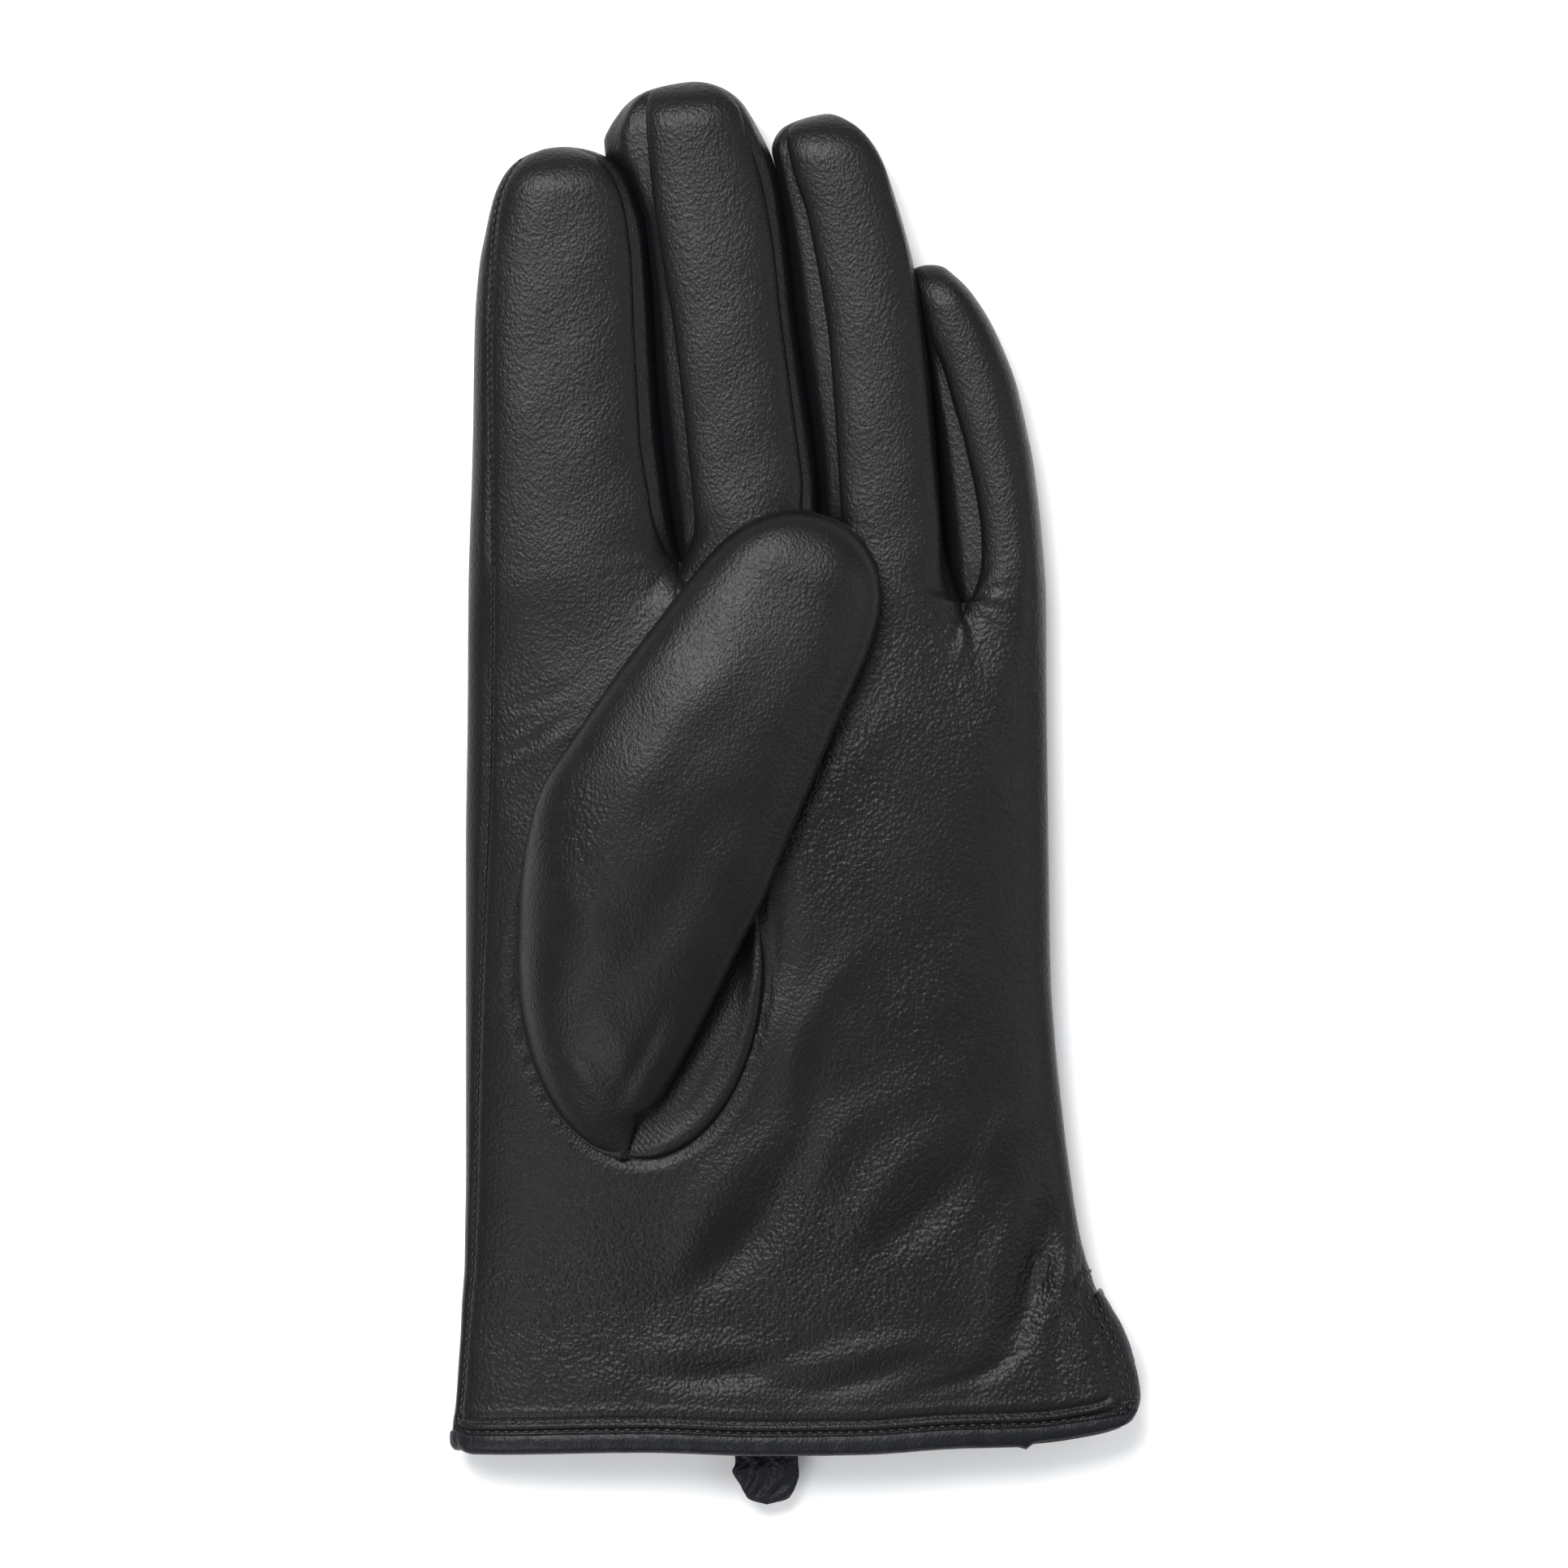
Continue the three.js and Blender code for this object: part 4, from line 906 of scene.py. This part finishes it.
def stitched(name, path, normals, nodes, mount, **size):
    """A row of stitches that stands for CAD nodes and rides where mount puts it."""
    row = stitch_row(name, path, normals, **size)
    mount(row)
    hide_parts(*nodes)
    PIECES[row.name] = "thread"


on_hand = lambda piece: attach(piece, "hand")
shown = int(0.62 * len(EDGE))  # the rows end where the edge turns under the hand
for n, depth in enumerate((3.75, 5.7)):
    path, normals = drape(EDGE[:shown] + INWARD[:shown] * depth,
                          np.concatenate([PALM, BACK], 1), 0.12)
    stitched(f"cuff_stitches_{n + 1}", path, normals, ["cuff_stitching"], on_hand)

SIDE_STITCH = dict(pitch=1.6, long=1.1, wide=0.3)
HEM_ROWS, TIP_ROWS = 18, 8  # rows of the grids that the side seam's stitches leave out
seam = PALM[HEM_ROWS:, 0]
side_normals = (grid_normals(PALM)[:, 0] + grid_normals(BACK)[:, -1])[HEM_ROWS:]
stitched("side_seam_stitches", seam + side_normals * 0.05, side_normals, ["side_seam_stitching"],
         on_hand, **SIDE_STITCH)
face, wrap = SKINS["index"][0], SKINS["index"][3]
side_normals = (grid_normals(face)[:, 0] + grid_normals(wrap)[:, -1])[:-TIP_ROWS]
stitched("index_seam_stitches", face[:-TIP_ROWS, 0], side_normals,
         ["index_seam_stitching", "thumb_seam_stitching"],
         lambda piece: finger_bend(piece), **SIDE_STITCH)

# %% [markdown]
# ## The pull tab
# A scrap of the same skin is caught under the hem and hangs out as a small tongue. It is a closed
# sheet, full at the hem and round at its end, with creases.

# %% Pull tab
tab_low, tab_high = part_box("pull_tab")
TAB_X, TAB_ROOT, TAB_HALF = 1.8, -76.5, 0.62  # its middle line, its hidden end, half thickness
TAB_SIDES = [  # share from the root to the end, left, right
    [0, -5.6, 5.8], [0.42, -5.9, 5.9], [0.56, -5.9, 6.0], [0.62, -6.4, 6.1], [0.68, -6.0, 6.1],
    [0.78, -4.9, 5.6], [0.88, -4.0, 4.8], [0.95, -2.9, 3.6], [1, 0.2, 0.2]]


def tab_grids(rows=90, columns=44):
    """Upper and under side of the tongue. Half thickness is 0.62 mm times (1 - a^4)^0.5 across and
    falls the same way to the end; creases are waves that fan out from the root."""
    b = np.sin(np.linspace(0, np.pi / 2, rows))[:, None]
    a = -np.cos(np.pi * np.linspace(0, 1, columns))[None, :]
    sides = line(TAB_SIDES, b[:, 0], True)
    x = TAB_X + mix(sides[:, :1], sides[:, 1:], (a + 1) / 2)
    root_y, end_y = TAB_ROOT, tab_low[1] / MM - 0.7
    y = mix(root_y, end_y, b) + 0 * a
    thick = TAB_HALF * np.sqrt(np.maximum(1 - a ** 4, 0)) * np.sqrt(np.maximum(1 - b ** 8, 0))
    free = smooth_step(0.4, 0.6, b)
    sag = 0.5 * np.sin(2.2 * a + 3 * b) * free + 0.35 * (a ** 2) * free
    crease = 0.24 * np.sin(9 * a + 4 * np.sin(7 * b) + 11 * b) * free
    crease += 0.14 * np.sin(21 * a * (1.3 - b) + 17 * b) * free
    z = (tab_low[2] + tab_high[2]) / 2 / MM + sag
    upper = points_at(x, y, z + thick * (1 + crease * 1.5))
    under = points_at(x, y, z - thick)[:, ::-1]
    return upper, under


tab_upper, tab_under = [grid[::-1, ::-1][:, ::-1] for grid in tab_grids()]
tab = sheet_mesh("pull_tab_leather", [tab_upper, tab_under], 0,
                 {"coarse": [np.full(tab_upper.shape[:2], 0.5)] * 2})
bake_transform(tab)
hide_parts("pull_tab", "tab_anchor")
PIECES[tab.name] = "tab_leather"

# %% [markdown]
# ## The knitted lining
# Inside hangs a loose knitted liner of the same pattern. It is the same shapes drawn in by the
# leather's thickness, with fewer points, because only its mouth shows.

# %% Lining
LINING_GAP, LINING_THICKNESS = 1.5, 0.6
lining_palm, lining_back = hand_grids(fine=2.4, inset=LINING_GAP, relief=False)
lining_palm, lining_back = lining_palm[3:], lining_back[3:]
lining = sheet_mesh("hand_lining", [lining_palm, lining_back], LINING_THICKNESS)
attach(lining, "hand")
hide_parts("lining_hand")
PIECES[lining.name] = "knit_lining"
for finger_name, finger in FINGERS.items():
    grids = finger_grid(finger, inset=LINING_GAP, fine=2.2)
    piece = sheet_mesh(finger_name + "_liner", grids, 0)
    finger_bend(piece)
    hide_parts(finger_name + "_lining")
    PIECES[piece.name] = "knit_lining"
liner = sheet_mesh("thumb_liner", list(thumb_grids(fine=2.2, inset=1.6)), 0)
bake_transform(liner)
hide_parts("thumb_lining")
PIECES[liner.name] = "knit_lining"


# %% [markdown]
# ## Materials
# Colours are written as sRGB hex, as a painter reads them, and turned to linear light by one
# function. One helper adds a node, sets its inputs and links it.

# %% Colour and nodes
def linear(hex_colour):
    """sRGB hex to linear RGBA: below 0.04 it is the value over 12.92, above it the curve
    ((c + 0.055) / 1.055) ^ 2.4."""
    c = np.array([int(hex_colour[i:i + 2], 16) / 255 for i in (1, 3, 5)])
    return (*np.where(c < 0.04045, c / 12.92, ((c + 0.055) / 1.055) ** 2.4), 1.0)


def add(tree, kind, out, settings=None, **inputs):
    """Adds a node and gives its output socket out. Settings are the node's own properties. An
    input is a value or another node's socket; n0 is the node's first input."""
    node = tree.nodes.new("ShaderNode" + kind)
    for key, value in (settings or {}).items():
        setattr(node, key, value)
    for key, value in inputs.items():
        socket = node.inputs[int(key[1:]) if key[1:].isdigit() else key]
        if isinstance(value, bpy.types.NodeSocket):
            tree.links.new(value, socket)
        else:
            socket.default_value = value
    return node.outputs[out]


def times(tree, a, b):
    """The product of two sockets, or of a socket and a number."""
    return add(tree, "Math", "Value", {"operation": "MULTIPLY"}, n0=a, n1=b)


def between(tree, factor, dark, light):
    """A colour from dark to light, both given as hex."""
    return add(tree, "Mix", "Result", {"data_type": "RGBA"}, n0=factor, n6=linear(dark),
               n7=linear(light))


def remap(tree, value, low, high, first, last):
    """Turns low..high into first..last."""
    return add(tree, "MapRange", "Result", Value=value, n1=low, n2=high, n3=first, n4=last)


def bumped(tree, height, strength, distance, **normal):
    """A normal bent by a height, on top of an earlier one if it is given."""
    return add(tree, "Bump", "Normal", Height=height, Strength=strength, Distance=distance,
               **normal)


def new_material(name, roughness, ior, specular):
    """An empty Principled material whose constants sit on the shader's own sockets."""
    material = bpy.data.materials.new(name)
    material.use_nodes = True
    tree = material.node_tree
    shader = tree.nodes["Principled BSDF"]
    shader.inputs["Roughness"].default_value = roughness
    shader.inputs["IOR"].default_value = ior
    shader.inputs["Specular IOR Level"].default_value = specular
    return material, tree, shader


# %% [markdown]
# ## Aniline-dyed black nappa
# Full-grain lamb skin, drum dyed and lightly polished. To the eye it is a near black with a soft
# satin sheen. Its grain is small cells about 0.4 mm wide with fine creases between, and rounder
# pebbles about 0.7 mm wide where it is loose. The creases stay dull and the tops shine.

# %% Leather
GRAIN_MM, PEBBLE_MM, PORE_MM = 0.44, 0.72, 0.22
SHINE = 0.2  # the grain's own small shadows take away more than half of a smooth skin's shine


def nappa(name, dark, light, roughness, bump=1.0, coarse_most=1.0):
    """Leather from three cell patterns read at the leather's own rest place."""
    material, tree, shader = new_material(name, roughness, 1.5, SHINE)
    place = add(tree, "Attribute", "Vector", {"attribute_name": "hide"})
    coarse = add(tree, "Attribute", "Fac", {"attribute_name": "coarse"})
    warp = add(tree, "TexNoise", "Color", Vector=place, Scale=260.0, Detail=2.0)
    nudge = add(tree, "VectorMath", "Vector", {"operation": "SCALE"}, n0=warp, Scale=0.0006)
    moved = add(tree, "VectorMath", "Vector", {"operation": "ADD"}, n0=place, n1=nudge)
    stretched = add(tree, "Mapping", "Vector", Vector=moved, Scale=(1.0, 0.72, 1.0))
    cell, pebble, pore = [
        add(tree, "TexVoronoi", "Distance", {"feature": feature}, Vector=vector,
            Scale=1000 / size)
        for feature, vector, size in (("SMOOTH_F1", stretched, GRAIN_MM),
                                      ("SMOOTH_F1", moved, PEBBLE_MM), ("F1", moved, PORE_MM))]
    patch = add(tree, "TexNoise", "Fac", Vector=place, Scale=70.0, Detail=3.0, Roughness=0.6)
    amount = times(tree, coarse, remap(tree, patch, 0.3, 0.7, 0.35, 1.0))
    pebbles = times(tree, times(tree, pebble, -1.0), amount)
    normal = bumped(tree, times(tree, cell, -1.0), 0.8 * bump, 0.0001)
    normal = bumped(tree, times(tree, pore, -1.0), 0.4 * bump, 0.00004, Normal=normal)
    normal = bumped(tree, pebbles, bump * coarse_most, 0.0005, Normal=normal)
    tree.links.new(normal, shader.inputs["Normal"])
    tone = add(tree, "TexNoise", "Fac", Vector=place, Scale=45.0, Detail=4.0)
    # Random tone, darkened to 0.62 in the creases between grain cells: painted shade in the
    # creases.
    tone_and_painted_crease_shade = add(tree, "Mix", "Result", {"data_type": "RGBA", "blend_type": "MULTIPLY"}, n0=1.0,
                 n6=between(tree, tone, dark, light),
                 n7=remap(tree, cell, 0.25, 0.75, 1.0, 0.62))
    tree.links.new(tone_and_painted_crease_shade, shader.inputs["Base Color"])
    rough = add(tree, "Math", "Value", {"operation": "ADD"},
                n0=remap(tree, cell, 0.2, 0.8, roughness - 0.05, roughness + 0.12),
                n1=remap(tree, patch, 0.3, 0.7, -0.04, 0.04))
    tree.links.new(rough, shader.inputs["Roughness"])
    shader.inputs["Sheen Weight"].default_value = 0.02
    shader.inputs["Sheen Roughness"].default_value = 0.5
    shader.inputs["Sheen Tint"].default_value = linear("#8090A0")
    return material


# %% [markdown]
# ## Knit and thread
# The liner is a fine black jersey: rows of small loops about a millimetre apart that catch light
# in ribs, with a matt, slightly hairy surface. The thread is bonded polyester, twisted from three
# plies, a little glossier than the leather round it.

# %% Knit and thread
def jersey():
    """Two crossed wave patterns stand for the columns and rows of loops."""
    material, tree, shader = new_material("black_jersey_knit", 0.85, 1.5, 0.3)
    place = add(tree, "TexCoord", "Object")
    waves = [add(tree, "TexWave", "Fac", {"bands_direction": direction}, Vector=place,
                 Scale=scale, Distortion=1.2) for direction, scale in (("X", 310.0), ("Y", 240.0))]
    loops = times(tree, *waves)
    tree.links.new(bumped(tree, loops, 0.8, 0.0003), shader.inputs["Normal"])
    # Lighter on the loops and darker between them: painted light and painted shade on the ribs.
    tree.links.new(between(tree, loops, "#0C0C0D", "#2A292B"), shader.inputs["Base Color"])
    shader.inputs["Sheen Weight"].default_value = 0.3
    return material


def bonded_thread():
    """Slanting bands stand for the twist of the plies."""
    material, tree, shader = new_material("bonded_polyester_thread", 0.42, 1.55, 0.5)
    place = add(tree, "TexCoord", "Object")
    twist = add(tree, "TexWave", "Fac", {"bands_direction": "DIAGONAL"}, Vector=place,
                Scale=900.0, Distortion=0.4)
    tree.links.new(bumped(tree, twist, 0.5, 0.00008), shader.inputs["Normal"])
    # Lighter on the twist's raised bands, darker between: painted highlight and painted shade on
    # the plies.
    tree.links.new(between(tree, twist, "#08090B", "#15171B"), shader.inputs["Base Color"])
    return material


FINISHES = {
    "nappa_leather": nappa("black_nappa_leather", "#0D0D0E", "#131314", 0.35),
    "binding_leather": nappa("folded_nappa_binding", "#0C0D10", "#131519", 0.38, 0.8, 0.6),
    "tab_leather": nappa("creased_nappa_scrap", "#101114", "#17191D", 0.40, 1.3),
    "knit_lining": jersey(),
    "thread": bonded_thread(),
}
for piece_name, slot in PIECES.items():
    piece = bpy.data.objects[piece_name]
    piece.data.materials.clear()
    piece.data.materials.append(FINISHES[slot])
print(len(PIECES), "pieces have their finish")

# %% [markdown]
# ## Table, light and camera
# A pale table, a broad soft light above and a little behind, two weaker ones from the cuff's side
# and from the little finger's side, and an even pale surround. Black leather shows by the soft
# reflections on it. The camera looks straight down from far away, so it sees no perspective.

# %% Table, light and camera
def paper(name, hex_colour):
    """A matt pale paper with a faint fibre bump."""
    material, tree, shader = new_material(name, 0.9, 1.45, 0.2)
    place = add(tree, "TexCoord", "Object")
    fibre = add(tree, "TexNoise", "Fac", Vector=place, Scale=400.0, Detail=3.0)
    tree.links.new(bumped(tree, fibre, 0.05, 0.0002), shader.inputs["Normal"])
    shader.inputs["Base Color"].default_value = linear(hex_colour)
    return material


HALF_TABLE = 2.5
floor_mesh = bpy.data.meshes.new("table_top")
floor_mesh.from_pydata([(x * HALF_TABLE, y * HALF_TABLE, 0)
                        for x, y in ((-1, -1), (1, -1), (1, 1), (-1, 1))], [], [(0, 1, 2, 3)])
floor = bpy.data.objects.new("table_top", floor_mesh)
bpy.context.scene.collection.objects.link(floor)
floor.data.materials.append(paper("matt_white_paper", "#FAFAFA"))
floor.location.z = -0.0004


def soft_box(name, place, target, size, watts):
    """A square area light at place, facing target."""
    data = bpy.data.lights.new(name, "AREA")
    data.shape, data.size, data.energy = "SQUARE", size, watts
    lamp = bpy.data.objects.new(name, data)
    lamp.location = place
    aim = np.array(target) - np.array(place)
    lamp.rotation_euler = (math.atan2(math.hypot(aim[0], aim[1]), -aim[2]), 0,
                           math.atan2(aim[1], aim[0]) - math.pi / 2)
    bpy.context.scene.collection.objects.link(lamp)


GLOVE_MIDDLE = (0.005, 0.041, 0.01)
soft_box("sky_box", (-0.33, 0.76, 1.3), GLOVE_MIDDLE, 0.8, 27)
soft_box("cuff_box", (-0.55, -0.7, 1.1), GLOVE_MIDDLE, 0.8, 7)
soft_box("side_box", (0.95, 0.1, 0.8), GLOVE_MIDDLE, 0.8, 3)
world = bpy.data.worlds.new("pale_room")
world.use_nodes = True
world.node_tree.nodes["Background"].inputs["Color"].default_value = linear("#F2F5FA")
world.node_tree.nodes["Background"].inputs["Strength"].default_value = 0.5
bpy.context.scene.world = world
bpy.context.scene.view_settings.view_transform = "Standard"

FRAME_WIDTH, CAMERA_HEIGHT, SENSOR = 0.2917, 1.8, 36
FOCUS_LEVEL = 0.012  # the height at which the frame is FRAME_WIDTH wide
camera_data = bpy.data.cameras.new("camera")
camera_data.sensor_width = SENSOR
camera_data.lens = SENSOR * (CAMERA_HEIGHT - FOCUS_LEVEL) / FRAME_WIDTH
camera_data.clip_end = 20
camera = bpy.data.objects.new("camera", camera_data)
camera.location = (0.0051, 0.0414, CAMERA_HEIGHT)
bpy.context.scene.collection.objects.link(camera)
bpy.context.scene.camera = camera
